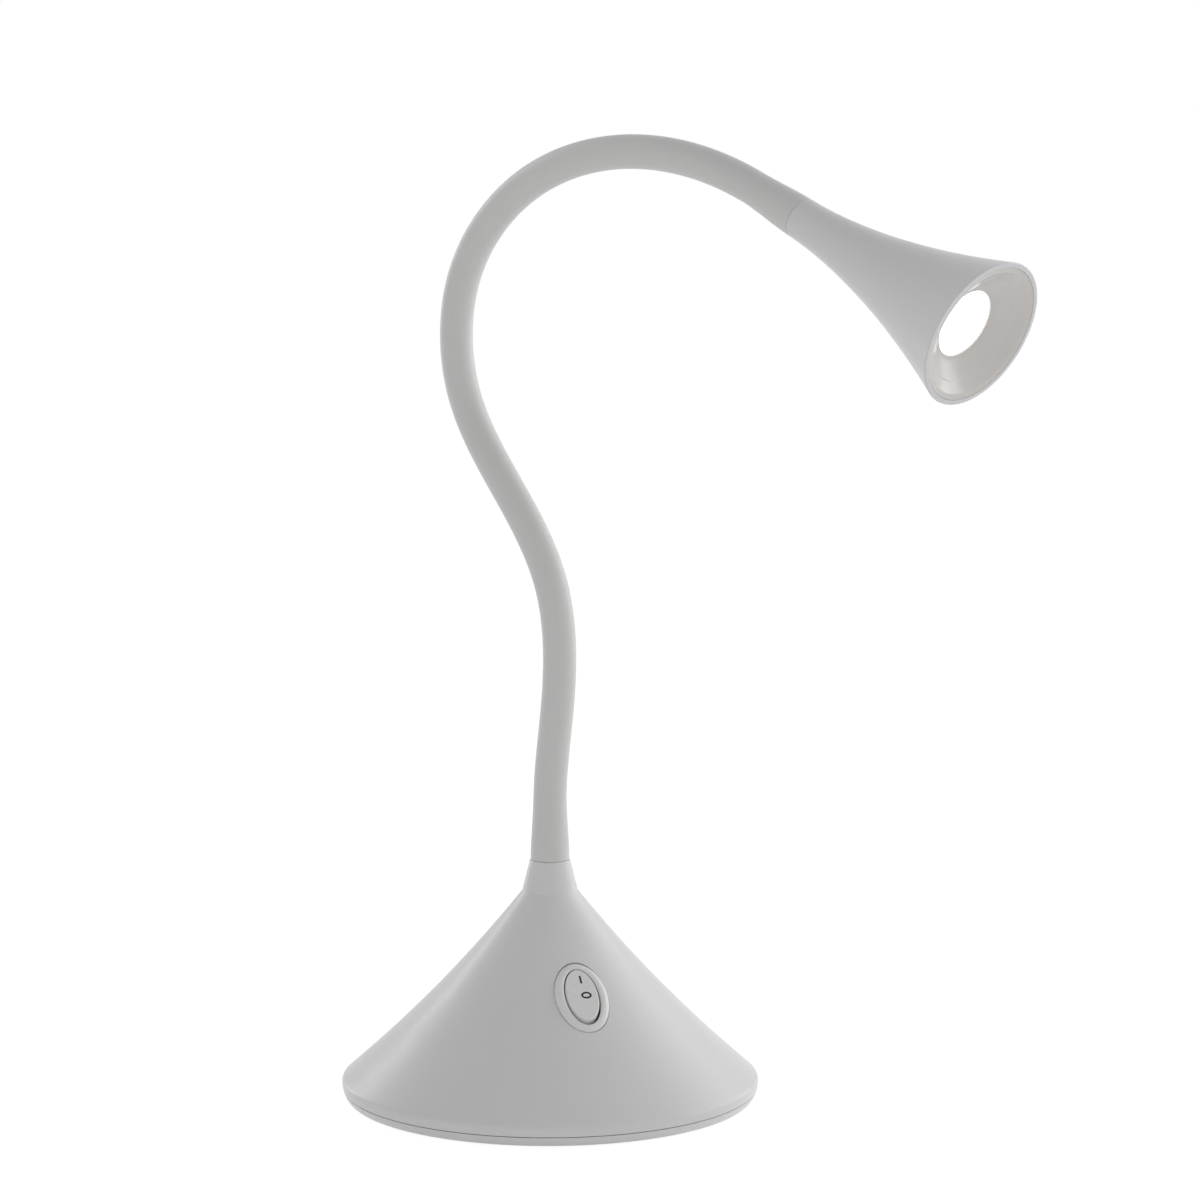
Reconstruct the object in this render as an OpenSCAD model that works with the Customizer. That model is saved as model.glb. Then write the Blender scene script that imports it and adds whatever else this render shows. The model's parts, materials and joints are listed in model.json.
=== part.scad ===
// Gooseneck desk lamp: weighted cone base, sleeved flexible neck, trumpet head.
// Millimetres. Origin on the table under the middle of the base, +Z up,
// the neck bends in the XZ plane and the head looks towards +X.

/* [Base] */
// Radius of the base at its widest
base_r = 62.5; // [58:0.5:68]
// Height of the widest line above the table
rim_z = 5.5; // [5:0.1:7]
// Rounding of the rim above the widest line
rim_round = 2; // [1:0.25:4]
// Height of the seam between cover and plate
seam_z = 3.5; // [3:0.1:4]
// Radius of the cone where the spout begins
cone_top_r = 8.7; // [8:0.1:11]
// Height of the cone where the spout begins
cone_top_z = 62.6; // [58:0.5:75]
// How far the cone's side sinks below a straight line
cone_dip = 1.8; // [0:0.1:3]
// Radius of the spout's top
spout_top_r = 6.2; // [6:0.1:7.5]
// Height of the spout above the cone
spout_h = 9.8; // [7:0.2:14]
// Wall of the cover, measured square to the side
cover_wall = 2.2; // [1.8:0.1:3]
// Floor thickness of the base plate
plate_t = 2.5; // [2:0.1:3.5]
// How far the foot ring stands below the plate
foot_proud = 0.5; // [0.3:0.1:1]
// Distance of the foot ring in from the widest line
foot_in = 16.5; // [16.5:0.5:18]
// Width of the foot ring
foot_w = 6; // [4:0.5:8]

/* [Ballast and screws] */
// Distance of the ballast weight's edge in from the widest line
ballast_in = 16; // [16:0.5:20]
// Radius of the hole through the ballast weight
ballast_hole_r = 14; // [10:0.5:18]
// Thickness of the ballast weight
ballast_t = 7; // [5:0.5:8]
// Distance of the ballast screws from the middle
ballast_screw_at = 33; // [30:0.5:36]
// Distance of the base screws in from the widest line
base_screw_in = 10.5; // [10:0.25:11]
// Shank radius of the base and ballast screws
screw_r = 1.5; // [1.25:0.05:1.75]

/* [Neck] */
// Length of one link of the neck, from joint to joint
link_len = 33.4; // [30:0.2:38]
// Radius of the sleeve
sleeve_r = 5; // [4.8:0.1:5.4]
// Radius of the sleeve's bore
sleeve_bore_r = 3.8; // [3.75:0.05:4]
// Radius of the sleeve's flared end at the base
sleeve_base_r = 6.1; // [5.9:0.1:6.6]
// Radius of the sleeve's flared end at the head
sleeve_head_r = 5.95; // [5.8:0.05:6.4]
// Length of each flare
flare_len = 15; // [8:0.5:15]
// Radius of the core tube between its coils
core_r = 3.2; // [3:0.05:3.3]
// Radius of the core's coils and sockets
coil_r = 3.6; // [3.55:0.01:3.65]
// Pitch of the core's coils
coil_pitch = 2.4; // [2:0.1:4]
// Radius of the ball on the upper end of each length of core
ball_r = 2.95; // [2.8:0.01:2.96]
// Running clearance of the ball in its socket
ball_gap = 0.05; // [0.03:0.01:0.08]
// Radius of the lead bore through the core
core_bore_r = 1.2; // [1.1:0.05:1.4]
// Radius of the lamp lead
lead_r = 0.8; // [0.6:0.05:0.9]
// Turn of each link in degrees, from the base up; positive leans back
turn_1 = -12; // [-30:1:30]
turn_2 = 34; // [-10:1:45]
turn_3 = 22; // [-10:1:45]
turn_4 = -22; // [-45:1:10]
turn_5 = -44; // [-46:1:10]
turn_6 = -34; // [-46:1:10]
turn_7 = -24; // [-46:1:10]
turn_8 = -18; // [-46:1:10]
turn_9 = -17; // [-46:1:10]

/* [Head] */
// Length of the head from the sleeve to the mouth
head_len = 69.6; // [62:0.2:80]
// Radius of the head's mouth
mouth_r = 21.6; // [19:0.1:26]
// Power of the trumpet's flare
flare_power = 1.75; // [1.5:0.05:2.2]
// Wall of the shade
shade_wall = 1.5; // [1.3:0.1:1.6]
// Width of the shade's rim round the reflector
mouth_rim = 1.65; // [1.4:0.05:2.2]
// Radius of the light window
window_r = 9.85; // [8:0.05:10.5]
// Depth of the window behind the mouth
window_depth = 5.6; // [4:0.1:7]
// Thickness of the reflector
reflector_t = 1.2; // [1:0.1:1.4]
// Thickness of the frosted diffuser
diffuser_t = 1.5; // [1:0.1:2]

/* [Switch] */
// Direction that the switch faces, in degrees from +X
switch_azimuth = -29; // [-40:1:0]
// Distance down the cone's side from the spout to the switch
switch_down = 34; // [30:0.5:38]
// Half length and half width of the bezel
bezel_a = 11.9; // [11.6:0.1:12.4]
bezel_b = 8.1; // [7.8:0.1:8.6]
// Thickness of the bezel
bezel_t = 1.6; // [1.2:0.1:2]
// Half length and half width of the bezel's opening
window_a = 9.75; // [9.6:0.05:9.9]
window_b = 5.5; // [5.4:0.05:5.6]
// Running gap round the rocker
rocker_gap = 0.3; // [0.2:0.05:0.4]
// Swing of the rocker from ON to OFF, in degrees
rocker_swing = 16; // [12:1:18]

/* [Inlet] */
// Radius of the cord hole through the grommet
cord_r = 2.1; // [1.5:0.1:2.5]
// Height of the inlet above the table
inlet_z = 15.5; // [15.5:0.25:17]
// Direction of the inlet, in degrees from +X
inlet_azimuth = 151; // [146:1:164]

/* [Hidden] */
$fn = 72;
eps = 0.01;
fit = 0.05; // clearance of a pin, screw or blade in its hole
gap = 0.2; // clearance of a moulded piece in its recess
joints = 10; // hinges in the neck
links = joints - 1; // lengths of core between them
turns = [0, turn_1, turn_2, turn_3, turn_4, turn_5, turn_6, turn_7, turn_8, turn_9, 0];

// ---- Shared shapes ---------------------------------------------------------

// An oval outline with half axes a and b.
function oval(a, b, n = 48) = [for (i = [0:n - 1]) [a * cos(360 * i / n), b * sin(360 * i / n)]];

module oval_prism(a, b, z0, z1) translate([0, 0, z0]) linear_extrude(z1 - z0) polygon(oval(a, b));

module tube(r_out, r_in, z0, z1) {
    translate([0, 0, z0]) difference() {
        cylinder(r = r_out, h = z1 - z0);
        translate([0, 0, -1]) cylinder(r = r_in, h = z1 - z0 + 2);
    }
}

// A rod along +Z that turns by turn degrees over its length; positive bends to -X.
module bent_rod(length, turn, r, bore = 0) {
    if (turn == 0) {
        difference() {
            cylinder(r = r, h = length);
            if (bore > 0) translate([0, 0, -1]) cylinder(r = bore, h = length + 2);
        }
    } else {
        bend_r = length / abs(turn) * 180 / PI;
        rotate([0, 0, turn > 0 ? 180 : 0]) translate([bend_r, 0, 0]) rotate([90, 0, 180])
            rotate_extrude(angle = abs(turn)) translate([bend_r, 0]) difference() {
                circle(r = r);
                if (bore > 0) circle(r = bore);
            }
    }
}

// A smooth curve through the points p, with n steps between two of them.
function curve_at(a, b, c, d, t) =
    0.5 * (2 * b + (c - a) * t + (2 * a - 5 * b + 4 * c - d) * t * t
        + (3 * b - a - 3 * c + d) * t * t * t);
function curve(p, n = 5) = let (m = len(p) - 1) concat(
    [for (i = [0:m - 1], k = [0:n - 1])
        curve_at(p[max(i - 1, 0)], p[i], p[i + 1], p[min(i + 2, m)], k / n)],
    [p[m]]);

// A round lead of radius r along the points p; side never lies along the lead.
module lead(p, r, side = [0.2, 1, 0.1], sides = 8) {
    m = len(p) - 1;
    function dir(i) = let (d = p[min(i + 1, m)] - p[max(i - 1, 0)]) d / norm(d);
    function ring(i) = let (
        t = dir(i),
        u = cross(t, side) / norm(cross(t, side)),
        v = cross(t, u)
    ) [for (k = [0:sides - 1]) p[i] + r * (u * cos(360 * k / sides) + v * sin(360 * k / sides))];
    polyhedron(
        points = [for (i = [0:m], q = ring(i)) q],
        faces = concat(
            [[for (k = [0:sides - 1]) k]],
            [for (i = [0:m - 1], k = [0:sides - 1]) let (k2 = (k + 1) % sides)
                [i * sides + k, (i + 1) * sides + k, (i + 1) * sides + k2, i * sides + k2]],
            [[for (k = [sides - 1:-1:0]) m * sides + k]]
        )
    );
}

module pan_screw(head_r, head_h, shank_r, shank_len) {
    cylinder(r = head_r, h = head_h);
    translate([0, 0, -shank_len]) cylinder(r = shank_r, h = shank_len + eps);
}

module round_about(count, at, first = 0) {
    for (i = [0:count - 1]) rotate([0, 0, first + i * 360 / count]) translate([at, 0, 0]) children();
}

// ---- Base ------------------------------------------------------------------

spout_top_z = cone_top_z + spout_h;
rim_r = base_r - rim_round; // middle of the rim's rounding
rim_angle = 48; // where the cone's side meets the rounding
side_top = [cone_top_r, cone_top_z];
side_foot = [rim_r + rim_round * cos(rim_angle), rim_z + rim_round * sin(rim_angle)];
side_len = norm(side_foot - side_top);
side_dir = (side_foot - side_top) / side_len;
side_in = [side_dir[1], -side_dir[0]];
side_steps = 16;
// A point of the cone's side, t from 0 at the spout to 1 at the rim, sunk by depth.
function side(t, depth = 0) =
    side_top + t * side_len * side_dir + (4 * cone_dip * t * (1 - t) + depth) * side_in;

under_r = 7.7; // rounding below the widest line
function under(z) = base_r - under_r + sqrt(under_r * under_r - (rim_z - z) * (rim_z - z));

lip_t = 2.4; // wall at the cover's lower edge
lip_r = base_r - lip_t;
base_screw_at = base_r - base_screw_in;
foot_r_out = base_r - foot_in;
foot_r_in = foot_r_out - foot_w;
ballast_r = base_r - ballast_in;
deck_z = cone_top_z - 4.6; // underside of the solid top that carries the neck
deck_t = 0.09; // where along the side the inner wall meets that underside
nipple_r = 4;
nipple_bore_r = 1.5;
boss_r = 3.5;
boss_gap = 0.1; // from each boss to its pad
pad_h = 4.5; // top of the pads that the bosses stand over
inlet_boss_r = 5.5;
inlet_face = base_r - 5; // distance of the inlet boss's flat face from the middle
inlet_len = 14.5;
inlet_inner = inlet_face - inlet_len;
grommet_groove_r = 3.6;

// The inlet's frame: z outwards along the cord, from the inner end of the boss.
module on_inlet() rotate([0, 0, inlet_azimuth]) translate([inlet_inner, 0, inlet_z])
    rotate([0, 90, 0]) children();

module cover_shell() {
    rotate_extrude() polygon(concat(
        [[nipple_r + fit, spout_top_z], [spout_top_r, spout_top_z]],
        [for (i = [0:side_steps]) side(i / side_steps)],
        [for (a = [rim_angle - 12:-12:0]) [rim_r + rim_round * cos(a), rim_z + rim_round * sin(a)]],
        [[under((rim_z + seam_z) / 2), (rim_z + seam_z) / 2], [under(seam_z), seam_z],
            [lip_r, seam_z], [lip_r, rim_z - 0.2]],
        [for (i = [side_steps:-1:1]) if (side(i / side_steps, cover_wall)[1] < deck_z
                && side(i / side_steps, cover_wall)[0] < lip_r) side(i / side_steps, cover_wall)],
        [[side(deck_t, cover_wall)[0], deck_z], [nipple_r + fit, deck_z]]
    ));
}

// Everything inside the cover's outer surface, to trim bosses with.
module cover_solid() {
    rotate_extrude() polygon(concat(
        [[0, seam_z], [0, cone_top_z]],
        [for (i = [0:side_steps]) side(i / side_steps, cover_wall / 2)],
        [[lip_r, rim_z], [lip_r, seam_z]]
    ));
}

module base_cover() {
    color("gainsboro") difference() {
        union() {
            cover_shell();
            intersection() {
                cover_solid();
                round_about(4, base_screw_at, 45) translate([0, 0, pad_h + boss_gap])
                    cylinder(r = boss_r, h = 20, $fn = 32);
            }
            on_inlet() cylinder(r = inlet_boss_r, h = inlet_len);
        }
        round_about(4, base_screw_at, 45) translate([0, 0, pad_h])
            cylinder(r = screw_r + fit, h = base_screw_len - pad_h + 1.5, $fn = 32);
        on_inlet() translate([0, 0, -1]) cylinder(r = grommet_groove_r + fit, h = inlet_len + 2);
        on_switch() {
            oval_prism(bezel_a + gap, bezel_b + gap, 0, 6);
            oval_prism(housing_a + gap, housing_b + gap, -9, eps);
        }
    }
}

plate_z = foot_proud; // underside of the base plate
floor_z = plate_z + plate_t; // top of its floor
spigot_t = 1.6;
spigot_h = 1.5;
seam_gap = 0.2;
foot_sink = 1;
screw_head_r = 2.8;
screw_head_h = 1.8;
base_screw_len = 8.5; // tip above the table
ballast_z = floor_z;
ballast_top = ballast_z + ballast_t;
pillar_r = 3.2;
pillar_gap = 0.3;
washer_head_r = 5;
washer_head_h = 2;

module base_plate() {
    color("gainsboro") difference() {
        union() {
            rotate_extrude() polygon([
                [0, plate_z], [under(plate_z) - 0.3, plate_z], [under(plate_z + 0.4), plate_z + 0.4],
                [under(seam_z / 2), seam_z / 2], [under(seam_z - seam_gap), seam_z - seam_gap],
                [lip_r - gap, seam_z - seam_gap], [lip_r - gap, seam_z + spigot_h],
                [lip_r - gap - spigot_t, seam_z + spigot_h], [lip_r - gap - spigot_t, floor_z],
                [0, floor_z]
            ]);
            round_about(4, base_screw_at, 45) translate([0, 0, floor_z - eps])
                cylinder(r = boss_r + 1, h = pad_h - floor_z + eps);
            round_about(3, ballast_screw_at) translate([0, 0, floor_z - eps])
                cylinder(r = pillar_r, h = ballast_t - 1 + eps);
        }
        round_about(4, base_screw_at, 45) {
            translate([0, 0, plate_z - 1]) cylinder(r = screw_head_r + 0.2, h = screw_head_h + 1.3);
            cylinder(r = screw_r + 0.2, h = 20);
        }
        round_about(3, ballast_screw_at) translate([0, 0, floor_z - 1.5])
            cylinder(r = screw_r + fit, h = 20);
        tube(foot_r_out + gap, foot_r_in - gap, -1, plate_z + foot_sink);
    }
}

module foot_ring() color("dimgray") tube(foot_r_out, foot_r_in, 0, plate_z + foot_sink);

case_l = 34;
case_w = 22;
case_clear = 22.5; // from the base's widest line to the outer end of the driver case
case_end = case_clear - base_r; // where that outer end lies
case_x = case_end + case_l / 2;
case_wall = 1.2;
case_z = ballast_top;
case_h = 10;
post_r = 1.4; // posts under the board's corners
post_in = case_wall + post_r - 0.4;
peg_r = 1.9; // pegs that hold the case in the ballast
peg_at = 7;
peg_len = 4;
board_z = case_z + 4;
board_t = 1.6;
board_top = board_z + board_t;
block_l = 8; // terminal block
block_w = 11;
block_h = 8;
block_gap = 0.8; // from the case's wall to the block
block_x = case_end + case_wall + block_gap + block_l / 2;
board_lead_x = case_x + case_l / 2 - 4; // where the leads leave the board
board_lead_y = 4;

module ballast_weight() {
    color("slategray") difference() {
        tube(ballast_r, ballast_hole_r, ballast_z, ballast_top);
        round_about(3, ballast_screw_at) cylinder(r = pillar_r + pillar_gap, h = 30);
        for (y = [-1, 1]) translate([case_x, y * peg_at, 0]) cylinder(r = peg_r + fit, h = 30);
    }
}

module ballast_screws() {
    color("silver") round_about(3, ballast_screw_at) translate([0, 0, ballast_top])
        pan_screw(washer_head_r, washer_head_h, screw_r, ballast_t);
}

module base_screws() {
    color("silver") round_about(4, base_screw_at, 45) translate([0, 0, plate_z + 0.3]) {
        cylinder(r = screw_head_r, h = screw_head_h - fit);
        cylinder(r = screw_r, h = base_screw_len);
    }
}

module cord_grommet() {
    flange_r = inlet_boss_r - 0.8;
    flange_t = 1.5;
    barb = 0.8;
    color("dimgray") on_inlet() difference() {
        union() {
            cylinder(r = grommet_groove_r, h = inlet_len + eps);
            translate([0, 0, inlet_len]) cylinder(r1 = flange_r, r2 = flange_r - 1, h = flange_t);
            translate([0, 0, -flange_t])
                cylinder(r1 = grommet_groove_r, r2 = grommet_groove_r + barb, h = flange_t);
        }
        translate([0, 0, -inlet_len]) cylinder(r = cord_r, h = 3 * inlet_len);
    }
}

module driver_case() {
    color("whitesmoke") {
        difference() {
            translate([case_x - case_l / 2, -case_w / 2, case_z]) cube([case_l, case_w, case_h]);
            translate([case_x - case_l / 2 + case_wall, -case_w / 2 + case_wall, case_z + case_wall])
                cube([case_l - 2 * case_wall, case_w - 2 * case_wall, case_h]);
        }
        for (x = [-1, 1], y = [-1, 1])
            translate([case_x + x * (case_l / 2 - post_in), y * (case_w / 2 - post_in), case_z + eps])
                cylinder(r = post_r, h = board_z - case_z - eps, $fn = 24);
        for (y = [-1, 1]) translate([case_x, y * peg_at, case_z - peg_len])
            cylinder(r = peg_r, h = peg_len + eps);
    }
}

module driver_board() {
    color("seagreen") translate([case_x, 0, board_z + board_t / 2])
        cube([case_l - 2 * case_wall - 2 * gap, case_w - 2 * case_wall - 2 * gap, board_t], center = true);
}

module driver_inductor() {
    flange_r = 4.2;
    flange_t = 1.2;
    winding_r = 3.2;
    height = 8;
    color("darkslategray") translate([case_x + 1, flange_r, board_top]) {
        cylinder(r = flange_r, h = flange_t);
        cylinder(r = winding_r, h = height);
        translate([0, 0, height - flange_t]) cylinder(r = flange_r, h = flange_t);
    }
}

module driver_capacitor() {
    can_r = 3.1;
    can_h = 8.6;
    can_edge = 0.5;
    color("midnightblue") translate([case_x + 2, -5, board_top]) {
        cylinder(r = can_r, h = can_h);
        translate([0, 0, can_h - eps]) cylinder(r1 = can_r, r2 = can_r - can_edge, h = can_edge + eps);
    }
}

module terminal_block() {
    pole_y = 2.6;
    wire_z = 3;
    clamp_r = 1.5;
    wire_hole_r = 1.3;
    color("whitesmoke") translate([block_x, 0, board_top]) difference() {
        translate([-block_l / 2, -block_w / 2, 0]) cube([block_l, block_w, block_h]);
        for (y = [-1, 1]) translate([0, y * pole_y, wire_z]) {
            cylinder(r = clamp_r, h = block_h);
            translate([-block_l, 0, 0]) rotate([0, 90, 0]) cylinder(r = wire_hole_r, h = 1.25 * block_l);
        }
    }
}

// ---- Switch ----------------------------------------------------------------
// Its own frame: z out of the cone, x down the cone's side, y level.
// The rocker's frame has its origin on the pivot and is upright when the rocker is level.

switch_sink = 0.9; // seat below the cone's surface
switch_t = switch_down / side_len;
switch_seat = side(switch_t, switch_sink);
switch_tilt = atan2(side_dir[0], -side_dir[1]); // slope of the side, set square to it
pivot_z = bezel_t - 3;
housing_a = 11;
housing_b = 6.5;
well_a = 10.1;
housing_depth = 16;
well_depth = 14.4;
snap_l = 6; // snap barbs on the housing's sides
snap_root = 0.3;
snap_out = 1.2;
snap_low = -7;
snap_high = -2.9;
trunnion_r = 1.2;
trunnion_y = 6.1; // reach of the trunnions to either side
half_swing = rocker_swing / 2;
rocker_face = bezel_t + 0.1 - pivot_z; // the pressed half's face above the pivot
rocker_a = window_a - rocker_gap - rocker_face * sin(half_swing) + window_a * (1 - cos(half_swing));
rocker_b = window_b - rocker_gap;
rocker_skirt = 3.5; // the rocker's lower edge below the pivot
rocker_wall = 1.2;
stem_r = 2.5;
stem_bore_r = 1.6;
stem_end = -6.5;
plunger_r = 1.5;
plunger_z = -8.2; // middle of its round tip
plunger_top = -3.6;
spring_top = -0.6;
lever_z = -10.5; // the lever's pivot below the rocker's
lever_top = 0.75;
lever_t = 0.6;
lever_a = 7;
lever_b = 2.4;
rib_r = 0.7;
contact_r = 0.9;
contact_x = 6;
contact_h = 0.5;
blade_t = 0.8;
blade_w = 4.8;
blade_end = -22;
mark_on_x = -4.6; // the ON bar, on the pressed half
mark_on = [2.4, 0.5];
mark_off_x = 1.6; // the OFF ring, on the raised half
mark_off_a = 1.1;
mark_off_b = 1.6;
mark_line = 0.45;
marks_depth = 0.3;

module on_switch() rotate([0, 0, switch_azimuth]) translate([switch_seat[0], 0, switch_seat[1]])
    rotate([0, 90 - switch_tilt, 0]) children();
// The rocker's frame, turned to where the rocker lies: ON, with its upper end pressed.
module on_pivot(angle = 0) on_switch() translate([0, 0, pivot_z]) rotate([0, angle, 0]) children();

// A point of the switch's frame in the part's frame.
function switch_point(p) = let (
    a = 90 - switch_tilt,
    r = switch_seat[0] + p[0] * cos(a) + p[2] * sin(a)
) [
    r * cos(switch_azimuth) - p[1] * sin(switch_azimuth),
    r * sin(switch_azimuth) + p[1] * cos(switch_azimuth),
    switch_seat[1] - p[0] * sin(a) + p[2] * cos(a)
];

module switch_housing() {
    color("white") on_switch() difference() {
        union() {
            oval_prism(bezel_a, bezel_b, 0, bezel_t - 0.5);
            // the bezel's top edge is bevelled in two steps
            oval_prism(bezel_a - 0.2, bezel_b - 0.2, bezel_t - 0.5 - eps, bezel_t - 0.2);
            oval_prism(bezel_a - 0.5, bezel_b - 0.5, bezel_t - 0.2 - eps, bezel_t);
            oval_prism(housing_a, housing_b, -housing_depth, eps);
            for (s = [-1, 1]) scale([1, s, 1]) translate([-snap_l / 2, housing_b - snap_root, 0])
                rotate([90, 0, 90]) linear_extrude(snap_l) polygon([
                    [0, snap_low], [snap_out, snap_high - snap_root], [snap_out, snap_high], [0, snap_high]
                ]);
        }
        oval_prism(window_a, window_b, -1, bezel_t + 1);
        oval_prism(well_a, window_b, -well_depth, -eps);
        translate([0, trunnion_y + fit, pivot_z]) rotate([90, 0, 0])
            cylinder(r = trunnion_r + fit, h = 2 * (trunnion_y + fit));
        for (x = [0, contact_x]) translate([x, 0, -housing_depth])
            cube([blade_t + 2 * fit, blade_w + 2 * fit, housing_depth / 2], center = true);
    }
}

module switch_rocker() {
    color("white") on_pivot(-half_swing) difference() {
        union() {
            difference() {
                oval_prism(rocker_a, rocker_b, -rocker_skirt, 8);
                for (s = [-1, 1]) rotate([0, s * -half_swing, 0]) translate([s * 10 - 10, -10, rocker_face])
                    cube([20, 20, 10]);
                oval_prism(rocker_a - rocker_wall, rocker_b - rocker_wall, -8, rocker_face - 1.6);
            }
            translate([0, 0, stem_end]) cylinder(r = stem_r, h = rocker_face - 1.5 - stem_end);
            rotate([90, 0, 0]) translate([0, 0, -trunnion_y]) cylinder(r = trunnion_r, h = 2 * trunnion_y);
        }
        translate([0, 0, stem_end - 1]) cylinder(r = stem_bore_r, h = spring_top - stem_end + 1);
        rotate([0, half_swing, 0]) translate([mark_on_x, 0, rocker_face])
            cube([mark_on[0], mark_on[1], 2 * marks_depth], center = true);
        rotate([0, -half_swing, 0]) translate([mark_off_x, 0, rocker_face - marks_depth]) difference() {
            oval_prism(mark_off_a, mark_off_b, 0, 2);
            oval_prism(mark_off_a - mark_line, mark_off_b - mark_line, -1, 3);
        }
    }
}

module switch_plunger() {
    color("ivory") on_pivot(-half_swing) {
        translate([0, 0, plunger_z]) cylinder(r = plunger_r, h = plunger_top - plunger_z);
        translate([0, 0, plunger_z]) sphere(r = plunger_r);
    }
}

module switch_spring() {
    wire_r = 0.2;
    coils = 4;
    steps = 14;
    bottom = plunger_top + wire_r;
    top = spring_top - wire_r;
    color("silver") on_pivot(-half_swing) lead([for (i = [0:coils * steps]) [
        1.2 * cos(i * 360 / steps), 1.2 * sin(i * 360 / steps),
        bottom + (top - bottom) * i / (coils * steps)
    ]], wire_r, side = [0, 0, 1], sides = 6);
}

module switch_lever() {
    color("goldenrod") on_pivot() translate([0, 0, lever_z]) rotate([0, half_swing, 0]) {
        translate([-lever_a, -lever_b, lever_top - lever_t]) cube([2 * lever_a, 2 * lever_b, lever_t]);
        translate([0, lever_b, 0]) rotate([90, 0, 0]) cylinder(r = rib_r, h = 2 * lever_b, $fn = 36);
        translate([contact_x, 0, lever_top - lever_t - contact_h])
            cylinder(r = contact_r, h = contact_h + eps);
    }
}

module switch_terminals() {
    cradle_top = lever_z - 0.2;
    contact_top = lever_z - 1.4;
    color("goldenrod") on_pivot() {
        // centre terminal: a cradle under the lever's rib
        difference() {
            union() {
                translate([-2, -blade_w / 2, cradle_top - 1.9]) cube([4, blade_w, 1.9]);
                translate([-blade_t / 2, -blade_w / 2, blade_end])
                    cube([blade_t, blade_w, cradle_top - 1 - blade_end]);
            }
            translate([0, 10, lever_z]) rotate([90, 0, 0]) cylinder(r = rib_r + fit, h = 20, $fn = 36);
        }
        // side terminal: a fixed contact under the lever's end
        translate([contact_x - 1.2, -blade_w / 2, contact_top - 0.8]) cube([2.4, blade_w, 0.8]);
        translate([contact_x - blade_t / 2, -blade_w / 2, blade_end])
            cube([blade_t, blade_w, contact_top - 0.5 - blade_end]);
    }
}

// Leads: driver board to each switch terminal, and driver board up through the neck's fitting.
module base_leads() {
    straight = 2; // straight stretch at each soldered end
    rise = 8; // height of each lead's first bend above the board
    lean = 3;
    end_z = pivot_z + blade_end;
    color("firebrick") for (x = [0, contact_x]) let (y = -board_lead_y - x / 2) lead(concat(
        [[board_lead_x, y, board_top]],
        curve([
            [board_lead_x, y, board_top + straight],
            [board_lead_x + lean, y, board_top + rise],
            switch_point([x + lean / 3, lean, end_z - 2 * straight]),
            switch_point([x, 0, end_z - straight])
        ]),
        [switch_point([x, 0, end_z])]
    ), lead_r);
    color("black") lead(concat(
        [[board_lead_x, board_lead_y, board_top]],
        curve([
            [board_lead_x, board_lead_y, board_top + straight],
            [board_lead_x + lean, lean, board_top + 2 * rise],
            [-lean / 2, lean / 3, deck_z - 2 * rise],
            [0, 0, deck_z - rise - 1]
        ]),
        [[0, 0, spout_top_z + link_len / 2]]
    ), lead_r);
}

// ---- Neck ------------------------------------------------------------------
// A chain of links of equal length; each link is one arc. Joint k has link k - 1 below
// it and link k above it; half a straight link leads from the spout to joint 1 and
// from the last joint to the head.

// Heading of the neck at joint k, in degrees above +X.
function heading(k) = k <= 1 ? 90 : heading(k - 1) + turns[k - 1];
// Step along an arc of the given length and turn, from heading h.
function arc_step(length, turn, h) = turn == 0
    ? length * [cos(h), 0, sin(h)]
    : let (r = length / turn * 180 / PI) r * [sin(h + turn) - sin(h), 0, cos(h) - cos(h + turn)];
function joint_at(k) = k <= 1
    ? [0, 0, spout_top_z + link_len / 2]
    : joint_at(k - 1) + arc_step(link_len, turns[k - 1], heading(k - 1));

module on_joint(k) translate(joint_at(k)) rotate([0, 90 - heading(k), 0]) children();
// The frame a distance s above joint k, on link k.
module on_link(k, s) translate(joint_at(k) + arc_step(s, turns[k] * s / link_len, heading(k)))
    rotate([0, 90 - heading(k) - turns[k] * s / link_len, 0]) children();

socket_rim = 0.3; // how far a socket reaches past the ball's middle
socket_len = 3.2;
neck_in = 4.4; // the slim stretch below each ball
slim_r = 1.7;

module ball() {
    sphere(r = ball_r);
    translate([0, 0, -neck_in - 0.4]) cylinder(r = slim_r, h = neck_in);
}

module socket() translate([0, 0, -socket_rim]) cylinder(r = coil_r, h = socket_len + socket_rim);

module ball_bore() translate([0, 0, -neck_in / 2]) cylinder(r = core_bore_r + 0.1, h = neck_in + ball_r);

module neck_core(k) {
    body = link_len - neck_in;
    coils = floor((body - socket_len - coil_pitch) / coil_pitch);
    color("darkgray") difference() {
        union() {
            on_joint(k) {
                socket();
                bent_rod(body, turns[k] * body / link_len, core_r);
            }
            for (i = [1:coils]) on_link(k, socket_len + i * coil_pitch)
                cylinder(r = coil_r, h = coil_pitch / 2, $fn = 48);
            on_joint(k + 1) ball();
        }
        on_joint(k) {
            sphere(r = ball_r + ball_gap);
            bent_rod(link_len, turns[k], core_bore_r);
        }
        on_joint(k + 1) ball_bore();
    }
}

sleeve_seam = 0.03; // each sleeve stops this far short of the middle of a link
// The outline of a flared sleeve end: radius end_r at its foot, easing to the sleeve's own.
function flare(end_r) = [for (i = [0:10]) let (u = i / 10)
    [sleeve_r + (end_r - sleeve_r) * (1 - u) * (1 - u), max(u * flare_len, sleeve_seam)]];

collar_r = 5;
collar_h = 3;
head_collar_r = 4.7;

// A flared end that stands on z = 0 and ends at the middle of its joint, half a link up.
module flared_end(end_r, collar) {
    rotate_extrude() polygon(concat(
        [[collar + gap / 2, sleeve_seam]], flare(end_r),
        [[sleeve_r, link_len / 2], [sleeve_bore_r, link_len / 2],
            [sleeve_bore_r, collar_h + gap], [collar + gap / 2, collar_h + gap]]
    ));
}

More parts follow.
